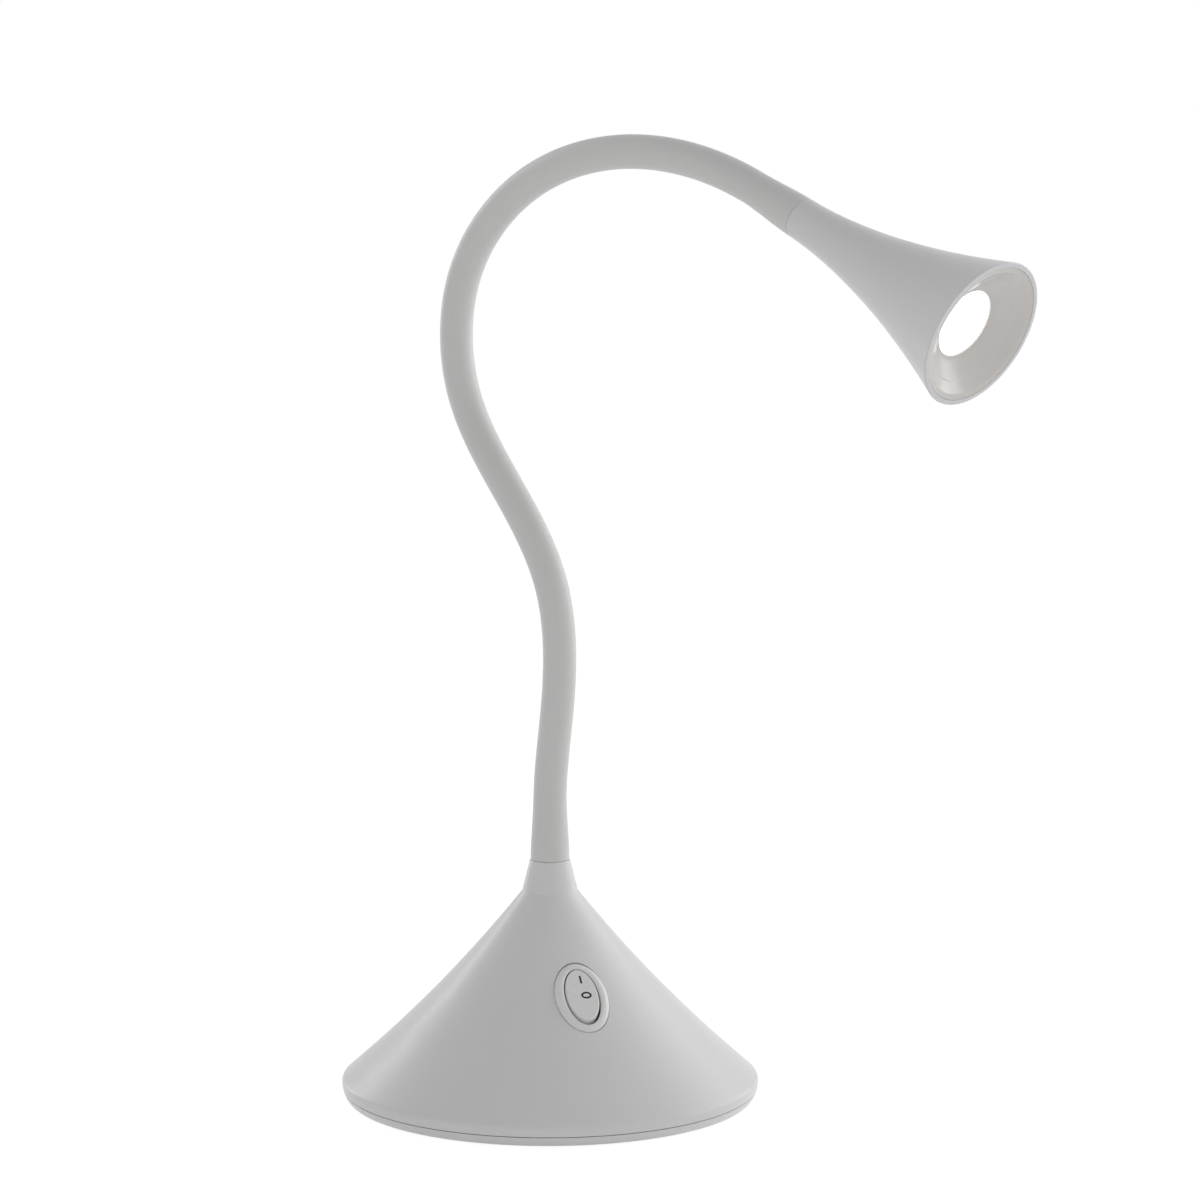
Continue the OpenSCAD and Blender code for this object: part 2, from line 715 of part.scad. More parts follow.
// Sleeve k reaches from the middle of link k - 1 past joint k to the middle of link k.
module neck_sleeve(k) {
    half = link_len / 2 - sleeve_seam;
    color("silver") on_joint(k) {
        if (k == 1) translate([0, 0, -link_len / 2]) flared_end(sleeve_base_r, collar_r);
        else mirror([0, 0, 1])
            bent_rod(half, turns[k - 1] * half / link_len, sleeve_r, sleeve_bore_r);
        if (k == joints) translate([0, 0, link_len / 2]) mirror([0, 0, 1])
            flared_end(sleeve_head_r, head_collar_r);
        else bent_rod(half, turns[k] * half / link_len, sleeve_r, sleeve_bore_r);
    }
}

lead_start = ball_r + ball_gap + 0.3; // clear of the ball that turns in the socket

module neck_lead(k) {
    color("black") if (k < joints) {
        on_link(k, lead_start)
            bent_rod(link_len - lead_start, turns[k] * (1 - lead_start / link_len), lead_r);
    } else {
        on_joint(k) translate([0, 0, lead_start])
            cylinder(r = lead_r, h = link_len / 2 + sink_top - lead_start);
    }
}

washer_t = 1.2;
neck_washer_r = 8;
neck_nut_h = 5;
neck_nut_r = 7.5;

module neck_nipple() {
    color("darkgray") difference() {
        union() {
            translate([0, 0, deck_z - washer_t - neck_nut_h - 1.5])
                cylinder(r = nipple_r, h = spout_top_z - deck_z + washer_t + neck_nut_h + 1.5 + eps);
            translate([0, 0, spout_top_z]) cylinder(r = collar_r, h = collar_h);
            translate([0, 0, spout_top_z]) cylinder(r = core_r, h = link_len / 2 - neck_in);
            on_joint(1) ball();
        }
        translate([0, 0, deck_z - 20]) cylinder(r = nipple_bore_r, h = spout_top_z - deck_z + 20);
        translate([0, 0, spout_top_z - 1]) cylinder(r = core_bore_r, h = link_len);
    }
}

module neck_washer() color("silver") tube(neck_washer_r, nipple_r + fit, deck_z - washer_t, deck_z);

module neck_nut() {
    color("silver") translate([0, 0, deck_z - washer_t - neck_nut_h]) difference() {
        cylinder(r = neck_nut_r, h = neck_nut_h, $fn = 6);
        translate([0, 0, -1]) cylinder(r = nipple_r + fit, h = neck_nut_h + 2);
    }
}

// ---- Head ------------------------------------------------------------------
// Its own frame: origin where the sleeve ends, z towards the mouth.

module on_head() on_joint(joints) translate([0, 0, link_len / 2]) children();

head_r0 = sleeve_head_r;
function trumpet(t) = head_r0 + (mouth_r - head_r0) * pow(t / head_len, flare_power);
throat_t = 3.5; // solid end of the shade
head_thread_r = 2.5;
head_nut_h = 3.5;
head_nut_r = 4.3;
rebate = 1.8;
rim_in_r = mouth_r - mouth_rim;
window_z = head_len - window_depth;
collar_wall = 1.35;
diffuser_top = window_z - 2;
board_face = window_z - 7; // top of the LED board
led_board_t = 1.6;
led_board_r = window_r + 2.15;
sink_top = board_face - led_board_t;
sink_flange_t = 3;
ledge_z = sink_top - sink_flange_t;
ledge_r = 11.6;
sink_flange_r = trumpet(ledge_z) - shade_wall - 0.5;
sink_len = 14.4;
sink_core_r = 4.5;
sink_bore_r = 1.4;
fins = 4;
fin_t = 1;
shade_steps = 24;

function shade_in(t) = t < ledge_z ? min(trumpet(t) - shade_wall, ledge_r) : trumpet(t) - shade_wall;

module head_nipple() {
    thread_end = throat_t + head_nut_h + 1;
    color("darkgray") difference() {
        union() {
            on_joint(joints) {
                socket();
                cylinder(r = core_r, h = link_len / 2);
            }
            on_head() {
                translate([0, 0, -collar_h]) cylinder(r = head_collar_r, h = collar_h);
                cylinder(r = head_thread_r, h = thread_end);
            }
        }
        on_joint(joints) sphere(r = ball_r + ball_gap);
        on_joint(joints) cylinder(r = core_bore_r, h = link_len / 2 + thread_end + 1);
    }
}

module head_nut() {
    color("silver") on_head() translate([0, 0, throat_t]) difference() {
        cylinder(r = head_nut_r, h = head_nut_h, $fn = 6);
        translate([0, 0, -1]) cylinder(r = head_thread_r + fit, h = head_nut_h + 2);
    }
}

module head_shade() {
    inner_top = head_len - rebate;
    color("gainsboro") on_head() rotate_extrude() polygon(concat(
        [[head_thread_r + fit, 0]],
        [for (i = [0:shade_steps]) let (t = (head_len - 0.4) * i / shade_steps) [trumpet(t), t]],
        [[mouth_r - 0.3, head_len], [rim_in_r + 0.1, head_len], [rim_in_r + 0.1, inner_top]],
        [for (i = [shade_steps:-1:0]) let (t = ledge_z + (inner_top - ledge_z) * i / shade_steps)
            [trumpet(t) - shade_wall, t]],
        [for (i = [shade_steps:-1:0]) let (t = throat_t + (ledge_z - throat_t - eps) * i / shade_steps)
            [shade_in(t), t]],
        [[head_thread_r + fit, throat_t]]
    ));
}

dish_r = rim_in_r - 0.5;
// The dish's depth line: flat at the window, steeper towards the rim.
function dish(r) = window_z + (head_len - 0.3 - window_z) * pow((r - window_r) / (dish_r - window_r), 1.5);
dish_steps = 12;

module head_reflector() {
    step_r = window_r + 0.95;
    outer_r = window_r + collar_wall;
    lip_z = head_len - rebate;
    color("white") on_head() rotate_extrude() polygon(concat(
        [for (i = [0:dish_steps]) let (r = window_r + (dish_r - window_r) * i / dish_steps) [r, dish(r)]],
        [[rim_in_r, head_len - 0.3], [rim_in_r, lip_z], [trumpet(lip_z) - shade_wall - 0.3, lip_z]],
        [for (i = [dish_steps - 2:-1:2]) let (r = window_r + (dish_r - window_r) * i / dish_steps)
            [r, dish(r) - reflector_t]],
        [[outer_r, dish(outer_r) - reflector_t], [outer_r, board_face], [step_r, board_face],
            [step_r, diffuser_top], [window_r, diffuser_top]]
    ));
}

module diffuser() {
    color("lightyellow") on_head() translate([0, 0, diffuser_top - diffuser_t])
        cylinder(r = window_r + 0.85, h = diffuser_t);
}

led_screw_at = 8.4;

module led_board() {
    color("white") on_head() difference() {
        translate([0, 0, sink_top]) cylinder(r = led_board_r, h = led_board_t);
        round_about(2, led_screw_at, 90) cylinder(r = 1 + fit, h = head_len);
    }
}

module led_emitter() {
    color("khaki") on_head() translate([0, 0, board_face]) {
        cylinder(r = 4.5, h = 0.5);
        cylinder(r = 3.8, h = 1.1);
    }
}

module heat_sink() {
    color("lightgray") on_head() difference() {
        union() {
            translate([0, 0, ledge_z]) cylinder(r = sink_flange_r, h = sink_flange_t);
            translate([0, 0, sink_top - sink_len - sink_flange_t])
                cylinder(r = sink_core_r, h = sink_len + sink_flange_t);
            for (i = [1:fins]) let (t = ledge_z - 3 * i)
                translate([0, 0, t]) cylinder(r = shade_in(t) - 0.6, h = fin_t);
        }
        cylinder(r = sink_bore_r, h = head_len);
        round_about(2, led_screw_at, 90) translate([0, 0, ledge_z + 0.5]) cylinder(r = 1 + fit, h = 10);
    }
}

module head_screws() {
    color("silver") on_head() round_about(2, led_screw_at, 90) translate([0, 0, board_face])
        pan_screw(2, 1.4, 1, led_board_t + sink_flange_t - 0.8);
}

// ---- Nodes -----------------------------------------------------------------

base_cover();
base_plate();
foot_ring();
ballast_weight();
ballast_screws();
base_screws();
cord_grommet();
driver_case();
driver_board();
driver_inductor();
driver_capacitor();
terminal_block();
switch_housing();
switch_rocker();
switch_plunger();
switch_spring();
switch_lever();
switch_terminals();
base_leads();
neck_nipple();
neck_washer();
neck_nut();
for (k = [1:links]) neck_core(k);
for (k = [1:joints]) neck_sleeve(k);
for (k = [1:joints]) neck_lead(k);
head_nipple();
head_nut();
head_shade();
head_reflector();
diffuser();
led_board();
led_emitter();
heat_sink();
head_screws();
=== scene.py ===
"""Gooseneck desk lamp: the looks of every piece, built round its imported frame."""

import json
import math

import bmesh
import bpy
from bpy.props import FloatProperty, FloatVectorProperty, IntProperty, PointerProperty
from mathutils import Matrix, Vector


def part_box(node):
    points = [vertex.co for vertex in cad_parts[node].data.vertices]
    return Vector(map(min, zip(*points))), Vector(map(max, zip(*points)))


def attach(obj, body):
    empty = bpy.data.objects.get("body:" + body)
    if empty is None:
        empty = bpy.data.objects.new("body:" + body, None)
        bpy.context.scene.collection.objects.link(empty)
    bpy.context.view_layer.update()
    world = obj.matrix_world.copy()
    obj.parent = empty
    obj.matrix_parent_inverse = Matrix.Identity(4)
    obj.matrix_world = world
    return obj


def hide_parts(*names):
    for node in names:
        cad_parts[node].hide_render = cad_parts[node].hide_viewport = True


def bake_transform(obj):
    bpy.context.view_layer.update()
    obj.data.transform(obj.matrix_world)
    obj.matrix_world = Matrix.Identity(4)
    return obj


bl_info = {
    "name": "Gooseneck Desk Lamp",
    "version": (1, 0, 0),
    "blender": (4, 5, 0),
    "location": "3D Viewport > Sidebar > Desk Lamp",
    "description": "Builds the pieces, finishes and studio of a gooseneck desk lamp on its frame",
    "category": "Object",
}

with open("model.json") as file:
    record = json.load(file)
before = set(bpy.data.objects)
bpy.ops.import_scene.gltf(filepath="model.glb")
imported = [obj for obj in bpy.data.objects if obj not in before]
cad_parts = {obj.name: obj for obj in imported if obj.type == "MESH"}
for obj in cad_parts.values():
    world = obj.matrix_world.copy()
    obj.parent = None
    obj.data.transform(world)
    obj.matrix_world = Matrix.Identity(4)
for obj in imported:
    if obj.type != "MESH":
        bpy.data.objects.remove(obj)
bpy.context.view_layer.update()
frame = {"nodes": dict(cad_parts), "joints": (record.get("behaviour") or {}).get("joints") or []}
MM = 0.001
JOINTS = 10  # hinges of the neck, from the base up to the head
SCREWS, SCREW_TURN = 4, math.pi / 4  # the base screws stand on the diagonals
BALLAST_SCREWS = 3
SNUG, LOOSE = 0.05 * MM, 0.2 * MM  # gaps round what fits tightly and what only passes
CREASE = math.radians(35)  # edges that turn more than this stay crisp
WELD = 1e-7  # points closer together than this become one
LATHE_RADIUS = 1 * MM  # of the circle that the lathe sweeps a profile along
BASE_RADIUS, SPOUT_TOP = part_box("base_cover")[1].x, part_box("base_cover")[1].z


# ---- Sizes and colours that a user would change --------------------------------------------


def length(name, mm, description):
    return FloatProperty(
        name=name, description=description, default=mm * MM, min=0, precision=5, unit="LENGTH"
    )


def angle(name, degrees, description):
    return FloatProperty(
        name=name, description=description, default=math.radians(degrees), unit="ROTATION"
    )


def share(name, default, description):
    return FloatProperty(
        name=name, description=description, default=default, min=0, max=1, subtype="FACTOR"
    )


def amount(name, default, description, top):
    return FloatProperty(name=name, description=description, default=default, min=0, max=top)


def power(name, watts, description):
    return FloatProperty(name=name, description=description, default=watts, min=0, unit="POWER")


def count(name, default, description):
    return IntProperty(name=name, description=description, default=default, min=3)


def colour(name, rgb, description):
    return FloatVectorProperty(
        name=name, description=description, default=(*rgb, 1), size=4, min=0, max=1, subtype="COLOR"
    )


class LampBaseSizes(bpy.types.PropertyGroup):
    rim_z: length("Rim height", 5.5, "Height of the widest line above the table")
    rim_round: length("Rim rounding", 2.0, "Rounding of the rim above the widest line")
    under_round: length("Under rounding", 7.7, "Rounding below the widest line")
    rim_angle: angle("Rim angle", 48, "Where the cone's side meets the rim's rounding")
    seam_z: length("Seam height", 3.5, "Height of the seam between cover and plate")
    seam_gap: length("Seam gap", 0.2, "Width of that seam")
    cone_top_r: length("Cone top radius", 8.7, "Radius of the cone where the spout begins")
    spout_h: length("Spout height", 9.8, "Height of the spout above the cone")
    spout_top_r: length("Spout top radius", 6.0, "Radius of the spout's top")
    foot_rise: length("Spout foot rise", 0.55, "How far up the cone's side the spout ends")
    cone_dip: length("Cone dip", 1.8, "How far the cone's side sinks below a straight line")
    wall: length("Cover wall", 2.2, "Wall of the cover, square to its side")
    lip: length("Cover lip", 2.4, "Wall at the cover's lower edge")
    bore_r: length("Neck bore", 4.05, "Radius of the hole for the neck's fitting")
    deck_drop: length("Deck", 4.6, "Underside of the cover's solid top, below the spout's foot")
    kink_round: length("Spout foot rounding", 0.5, "Rounding where the spout meets the cone")
    edge_round: length("Edge rounding", 0.35, "Rounding of the cover's outer edges")
    plate_z: length("Plate height", 0.5, "Underside of the base plate above the table")
    floor_z: length("Plate floor", 3.0, "Top of the base plate's floor")
    foot_in_r: length("Foot ring inner radius", 40.0, "Inner radius of the foot ring")
    foot_out_r: length("Foot ring outer radius", 46.0, "Outer radius of the foot ring")
    foot_t: length("Foot ring thickness", 1.5, "Thickness of the foot ring")
    screw_at: length("Base screw distance", 52.0, "Distance of the base screws from the middle")
    screw_head_r: length("Base screw head", 2.8, "Radius of the base screws' heads")
    screw_r: length("Base screw shank", 1.5, "Radius of the base screws' shanks")
    screw_boss_r: length("Screw boss", 3.5, "Radius of the cover's bosses for those screws")
    ballast_at: length("Ballast screw distance", 33.0, "Distance of the ballast's screws")
    inlet_azimuth: angle("Inlet direction", 151, "Direction of the cord inlet from +X")
    inlet_z: length("Inlet height", 15.5, "Height of the cord inlet above the table")
    inlet_face: length("Inlet face", 57.5, "Distance of the inlet's face from the middle")
    inlet_len: length("Inlet length", 14.5, "Length of the inlet's boss")
    inlet_boss_r: length("Inlet boss", 5.5, "Radius of the inlet's boss")
    grommet_r: length("Grommet radius", 3.6, "Radius of the grommet in the cover's hole")
    cord_r: length("Cord hole", 2.1, "Radius of the grommet's hole for the cord")
    segments: count("Segments", 224, "Steps round the base")


class LampSwitchSizes(bpy.types.PropertyGroup):
    azimuth: angle("Switch direction", -29, "Direction that the switch faces from +X")
    down: length("Switch distance", 34.0, "Distance down the cone's side from the spout")
    sink: length("Seat depth", 0.9, "Depth of the switch's seat below the cone's surface")
    bezel_a: length("Bezel half length", 11.8, "Half length of the bezel")
    bezel_b: length("Bezel half width", 7.95, "Half width of the bezel")
    bezel_t: length("Bezel thickness", 1.6, "Thickness of the bezel")
    bezel_round: length("Bezel dome", 2.1, "How far in the bezel's outer edge is domed")
    window_a: length("Opening half length", 9.45, "Half length of the bezel's opening")
    window_b: length("Opening half width", 5.3, "Half width of the bezel's opening")
    case_a: length("Case half length", 11.0, "Half length of the case behind the bezel")
    case_b: length("Case half width", 6.5, "Half width of the case behind the bezel")
    case_h: length("Case depth", 16.0, "Depth of the case behind the bezel")
    pocket_gap: length("Pocket gap", 0.22, "Gap between the bezel and the cover")
    pivot_depth: length("Pivot depth", 3.0, "Depth of the rocker's pivot below the bezel's face")
    pin_r: length("Pivot pin", 1.2, "Radius of the rocker's pivot pin")
    pin_half: length("Pivot pin half length", 6.1, "Half length of the rocker's pivot pin")
    rocker_gap: length("Rocker gap", 0.3, "Running gap round the rocker")
    rocker_round: length("Rocker rounding", 0.45, "Rounding of the rocker's edge")
    rocker_draft: length("Rocker draft", 0.12, "How much the rocker narrows towards its face")
    swing: angle("Rocker swing", 16, "Swing of the rocker from ON to OFF")
    rocker_rise: angle("Rocker rise", 3.5, "How steeply the rocker's lower half rises as it lies")
    mark_line: length("Mark line", 0.56, "Width of the printed lines")
    mark_bar: length("ON mark", 2.6, "Length of the printed I")
    mark_ring_a: length("OFF mark length", 1.15, "Half size of the printed O along the rocker")
    mark_ring_b: length("OFF mark width", 1.6, "Half size of the printed O across the rocker")


class LampNeckSizes(bpy.types.PropertyGroup):
    sleeve_r: length("Sleeve radius", 4.96, "Radius of the sleeve")
    wall: length("Sleeve wall", 1.2, "Wall of the sleeve")
    foot_r: length("Sleeve foot radius", 5.8, "Radius of the sleeve's end at the base")
    head_r: length("Sleeve head radius", 5.9, "Radius of the sleeve's end at the head")
    flare: length("Flare length", 20.0, "Length of each flared end")
    edge: length("Sleeve edge rounding", 0.3, "Rounding of the sleeve's two outer edges")
    steps: count("Steps along", 20, "Rings along each half link")
    segments: count("Segments", 72, "Steps round the sleeve")


class LampHeadSizes(bpy.types.PropertyGroup):
    length: length("Head length", 69.6, "Length of the head from the sleeve to the mouth")
    throat_r: length("Throat radius", 5.95, "Radius of the head where the sleeve ends")
    mouth_r: length("Mouth radius", 21.6, "Radius of the head's mouth")
    flare_power: amount("Flare power", 1.75, "Power of the trumpet's flare", top=4.0)
    wall: length("Shade wall", 1.5, "Wall of the shade")
    rim: length("Rim width", 1.65, "Width of the shade's rim round the reflector")
    rebate: length("Rim rebate", 1.8, "Depth of the rim's step behind the mouth")
    throat_t: length("Throat thickness", 3.5, "Thickness of the shade's solid end")
    throat_hole_r: length("Throat hole", 2.55, "Radius of the hole for the head's fitting")
    ledge_z: length("Ledge", 52.4, "Where the shade's inside steps in")
    ledge_r: length("Ledge radius", 11.6, "Radius of the shade's inside below that step")
    dish_r: length("Dish radius", 18.35, "Radius of the dish inside the reflector's flange")
    flange_sink: length("Flange depth", 0.5, "Depth of the flange's inner edge behind the mouth")
    step_r: length("Step radius", 15.6, "Radius of the fine step in the dish")
    step_t: length("Step height", 0.13, "Height of the fine step in the dish")
    window_r: length("Window radius", 9.75, "Radius of the light window")
    window_depth: length("Window depth", 6.3, "Depth of the window behind the mouth")
    seat_depth: length("Diffuser seat", 7.6, "Depth of the diffuser's seat behind the mouth")
    diffuser_t: length("Diffuser thickness", 1.5, "Thickness of the frosted diffuser")
    segments: count("Segments", 192, "Steps round the head")


class LampFinishes(bpy.types.PropertyGroup):
    shell: colour("Shell", (0.70, 0.694, 0.70), "Moulded shell of base and head")
    switch: colour("Switch", (0.73, 0.728, 0.715), "Bezel and rocker of the switch")
    marks: colour("Switch marks", (0.006, 0.006, 0.006), "Print of the ON and OFF marks")
    sleeve: colour("Sleeve", (0.635, 0.635, 0.62), "Silicone sleeve of the neck")
    reflector: colour("Reflector", (0.62, 0.597, 0.572), "Glossy dish round the light window")
    light: colour("Light", (1.0, 0.985, 0.95), "Light of the frosted window")
    light_strength: amount("Light strength", 1.6, "Strength of the window's light", top=10.0)


class LampStudio(bpy.types.PropertyGroup):
    azimuth: angle("Camera direction", -47.3, "Direction of the camera from +X")
    distance: length("Camera distance", 1200, "Level distance of the camera")
    sideways: length("Camera offset", 14.93, "Sideways offset of the camera")
    height: length("Camera height", 305.45, "Height of the camera above the floor")
    pitch: angle("Camera pitch", 7.362, "Angle that the camera looks down")
    lens: FloatProperty(
        name="Lens",
        description="Focal length in mm on a 36 mm wide sensor",
        default=122.5,
        min=1,
        unit="CAMERA",
    )
    backdrop: colour("Backdrop", (1.0, 1.0, 1.0), "Colour behind the lamp")
    floor: colour("Floor", (0.88, 0.88, 0.88), "Colour of the floor as it lights the lamp")
    floor_glow: amount("Floor glow", 0.87, "Floor's own white as the camera sees it", top=2.0)
    shadow: share("Shadow", 0.25, "Share of the floor's real light that the camera sees")
    table: amount("Table light", 0.14, "Light that the floor itself gives the lamp", top=4.0)
    left_watts: power("Left rear light", 1.7, "Power of the light behind, to the left")
    right_watts: power("Right light", 6.4, "Power of the broad light on the right")
    sky: colour("Sky", (0.985, 0.988, 1.0), "Colour of the light of the surroundings")
    sky_low: amount("Sky at the horizon", 0.83, "Light of the surroundings at the horizon", top=4.0)
    sky_high: amount("Sky overhead", 0.40, "Light of the surroundings overhead", top=4.0)


class LampSettings(bpy.types.PropertyGroup):
    base: PointerProperty(type=LampBaseSizes)
    switch: PointerProperty(type=LampSwitchSizes)
    neck: PointerProperty(type=LampNeckSizes)
    head: PointerProperty(type=LampHeadSizes)
    finishes: PointerProperty(type=LampFinishes)
    studio: PointerProperty(type=LampStudio)


def settings():
    """The sizes, finishes and studio values of the lamp in this scene."""
    return bpy.context.scene.desk_lamp


# ---- Places on the lamp --------------------------------------------------------------------


def rim_point(turn):
    """A point (radius, height) of the rim's rounding, turned up from the widest line."""
    size = settings().base
    return Vector((
        BASE_RADIUS - size.rim_round + size.rim_round * math.cos(turn),
        size.rim_z + size.rim_round * math.sin(turn),
    ))


def cone_side():
    """The cone's side: its top point, unit direction down, inward normal and length."""
    size = settings().base
    top = Vector((size.cone_top_r, SPOUT_TOP - size.spout_h))
    foot = rim_point(size.rim_angle)
    run = (foot - top).normalized()
    return top, run, Vector((run.y, -run.x)), (foot - top).length


def side_point(t, depth=0.0):
    """A point (radius, height) of the cone's side, t from 0 at the spout to 1 at the rim."""
    top, run, inward, reach = cone_side()
    dip = 4 * settings().base.cone_dip * t * (1 - t)
    return top + run * (t * reach) + inward * (dip + depth)


def under_radius(z):
    """Radius of the rounding below the widest line, at a height."""
    size = settings().base
    drop = size.rim_z - z
    return BASE_RADIUS - size.under_round + math.sqrt(size.under_round**2 - drop**2)


def on_inlet():
    """The inlet's frame: z outwards along the cord, from the inner end of its boss."""
    size = settings().base
    return (
        Matrix.Rotation(size.inlet_azimuth, 4, "Z")
        @ Matrix.Translation((size.inlet_face - size.inlet_len, 0, size.inlet_z))
        @ Matrix.Rotation(math.pi / 2, 4, "Y")
    )


def on_switch():
    """The switch's frame: z out of the cone, x down its side, y level."""
    size = settings().switch
    run, reach = cone_side()[1], cone_side()[3]
    seat = side_point(size.down / reach, size.sink)
    return (
        Matrix.Rotation(size.azimuth, 4, "Z")
        @ Matrix.Translation((seat.x, 0, seat.y))
        @ Matrix.Rotation(math.pi / 2 - math.atan2(run.x, -run.y), 4, "Y")
    )


def on_rocker():
    """The rocker's frame, on its pivot, tipped as it lies: ON, with its upper end pressed."""
    size = settings().switch
    return (
        on_switch()
        @ Matrix.Translation((0, 0, pivot_height()))
        @ Matrix.Rotation(-size.swing / 2, 4, "Y")
    )


def pivot_height():
    """Height of the rocker's pivot in the switch's frame."""
    size = settings().switch
    return size.bezel_t - size.pivot_depth


def neck_joints():
    """The neck's joints from the base up."""
    at = {joint["child"]: joint.get("pos_m") for joint in frame["joints"]}
    return [Vector(at[child]) for child in [f"link_{k}" for k in range(1, JOINTS)] + ["head"]]


def neck_headings():
    """The neck's heading at each joint, in radians above +X."""
    joints = neck_joints()
    headings = [math.pi / 2]
    for low, high in zip(joints, joints[1:]):
        chord = math.atan2(high.z - low.z, high.x - low.x)
        headings.append(2 * chord - headings[-1])
    return headings


def link_length():
    """Length of the neck from one joint to the next; the first joint is half of it up."""
    return 2 * (neck_joints()[0].z - SPOUT_TOP)


def neck_slopes():
    """The slopes at the joints of the smoothest curve that passes through all of them."""
    joints, sweeps = neck_joints(), 50
    slopes = [
        link_length() * Vector((math.cos(heading), 0, math.sin(heading)))
        for heading in neck_headings()
    ]
    for _ in range(sweeps):
        for i in range(1, JOINTS - 1):
            chord = joints[i + 1] - joints[i - 1]
            slopes[i] = (3 * chord - slopes[i - 1] - slopes[i + 1]) / 4
    return slopes


NECK_JOINTS, NECK_SLOPES = neck_joints(), neck_slopes()


def neck_point(k, along):
    """A point of the neck a distance along link k past joint k; link 0 leads to joint 1."""
    first = max(k, 1) - 1
    start, slope, t = NECK_JOINTS[first], NECK_SLOPES[first], along / link_length()
    if k == 0:
        return start + slope * (t - 1)
    if k == JOINTS:
        return start + slope * t
    end, end_slope = NECK_JOINTS[k], NECK_SLOPES[k]
    return (
        (2 * t**3 - 3 * t**2 + 1) * start
        + (t**3 - 2 * t**2 + t) * slope
        + (3 * t**2 - 2 * t**3) * end
        + (t**3 - t**2) * end_slope
    )


def on_head():
    """The head's frame: origin where the sleeve ends, z towards the mouth."""
    heading = neck_headings()[-1]
    return Matrix.Translation(neck_point(JOINTS, link_length() / 2)) @ Matrix.Rotation(
        math.pi / 2 - heading, 4, "Y"
    )


# ---- Mesh helpers --------------------------------------------------------------------------


def put(data, name):
    """Puts a mesh, light or camera into the scene as an object at the origin."""
    piece = bpy.data.objects.new(name, data)
    bpy.context.scene.collection.objects.link(piece)
    return piece


def take(*pieces):
    """Takes pieces out of the scene."""
    for piece in pieces:
        bpy.data.objects.remove(piece)


def crisp(mesh):
    """Smooth faces that keep their sharper edges."""
    mesh.shade_smooth()
    mesh.set_sharp_from_angle(angle=CREASE)


def plain(piece, name):
    """The evaluated piece as a plain mesh object with smooth faces and crisp edges."""
    evaluated = piece.evaluated_get(bpy.context.evaluated_depsgraph_get())
    mesh = bpy.data.meshes.new_from_object(evaluated)
    take(piece)
    made = bmesh.new()
    made.from_mesh(mesh)
    bmesh.ops.remove_doubles(made, verts=made.verts, dist=WELD)
    if made.calc_volume(signed=True) < 0:
        bmesh.ops.reverse_faces(made, faces=made.faces)
    made.to_mesh(mesh)
    made.free()
    mesh.name = name
    crisp(mesh)
    return put(mesh, name)


def place(piece, frame_matrix):
    """Moves the mesh itself, so that the piece's object stays at the origin."""
    piece.data.transform(frame_matrix)
    return piece


def rounded(corners, steps=5):
    """An outline through corners (x, y, rounding), with a support point beside each arc."""
    outline = []
    for i, (x, y, rounding) in enumerate(corners):
        here = Vector((x, y))
        if rounding <= 0:
            outline.append(here)
            continue
        before = Vector(corners[i - 1][:2]) - here
        after = Vector(corners[(i + 1) % len(corners)][:2]) - here
        room = min(before.length, after.length) / 2
        before.normalize()
        after.normalize()
        half = before.angle(after) / 2
        reach = min(rounding / math.tan(half), room)
        radius = reach * math.tan(half)
        centre = here + (before + after).normalized() * (radius / math.sin(half))
        support = min(0.4 * radius, 0.8 * (2 * room - reach))
        first, last = here + before * reach - centre, here + after * reach - centre
        outline.append(here + before * (reach + support))
        for step in range(steps + 1):
            outline.append(centre + radius * first.slerp(last, step / steps).normalized())
        outline.append(here + after * (reach + support))
    return outline


def spread(first, last, number):
    """Evenly spaced numbers, both ends included."""
    return [first + (last - first) * i / (number - 1) for i in range(number)]


def profile_mesh(points, closed, name):
    """A profile for the lathe: its points are (radius, height)."""
    mesh = bpy.data.meshes.new(name)
    edges = [(i, i + 1) for i in range(len(points) - 1)]
    if closed:
        edges.append((len(points) - 1, 0))
    mesh.from_pydata([(x - LATHE_RADIUS, -y, 0) for x, y in points], edges, [])
    return mesh


def turned(points, name, segments, material, closed=True):
    """A piece turned about z from an outline of (radius, height)."""
    blank = put(profile_mesh(points, closed, name), name + "_blank")
    dress(blank, lathe_tree(), {"Segments": segments, "Material": material})
    return plain(blank, name)


def rod(radius, low, high, segments=48):
    """A plain closed cylinder along z, for cuts and unions."""
    made = bmesh.new()
    bmesh.ops.create_cone(
        made, cap_ends=True, segments=segments, radius1=radius, radius2=radius, depth=high - low
    )
    bmesh.ops.translate(made, verts=made.verts, vec=(0, 0, (low + high) / 2))
    return put_made(made, "rod")


def bar(wide, deep, high):
    """A plain block about the origin, for cuts."""
    made = bmesh.new()
    bmesh.ops.create_cube(made, size=1)
    bmesh.ops.scale(made, verts=made.verts, vec=(wide, deep, high))
    return put_made(made, "bar")


def put_made(made, name):
    """Puts a finished bmesh into the scene as an object."""
    mesh = bpy.data.meshes.new(name)
    made.to_mesh(mesh)
    made.free()
    return put(mesh, name)


def joined(pieces, name):
    """One object that holds the meshes of several pieces."""
    made = bmesh.new()
    for piece in pieces:
        made.from_mesh(piece.data)
    take(*pieces)
    return put_made(made, name)


def round_about(make, number, at, first=0.0):
    """Copies of what make() gives, at a distance from the z axis."""
    turns = [first + i * 2 * math.pi / number for i in range(number)]
    return [
        place(make(), Matrix.Rotation(turn, 4, "Z") @ Matrix.Translation((at, 0, 0)))
        for turn in turns
    ]


def at_base_screws(make):
    """Copies of what make() gives, one at each base screw."""
    return round_about(make, SCREWS, settings().base.screw_at, SCREW_TURN)


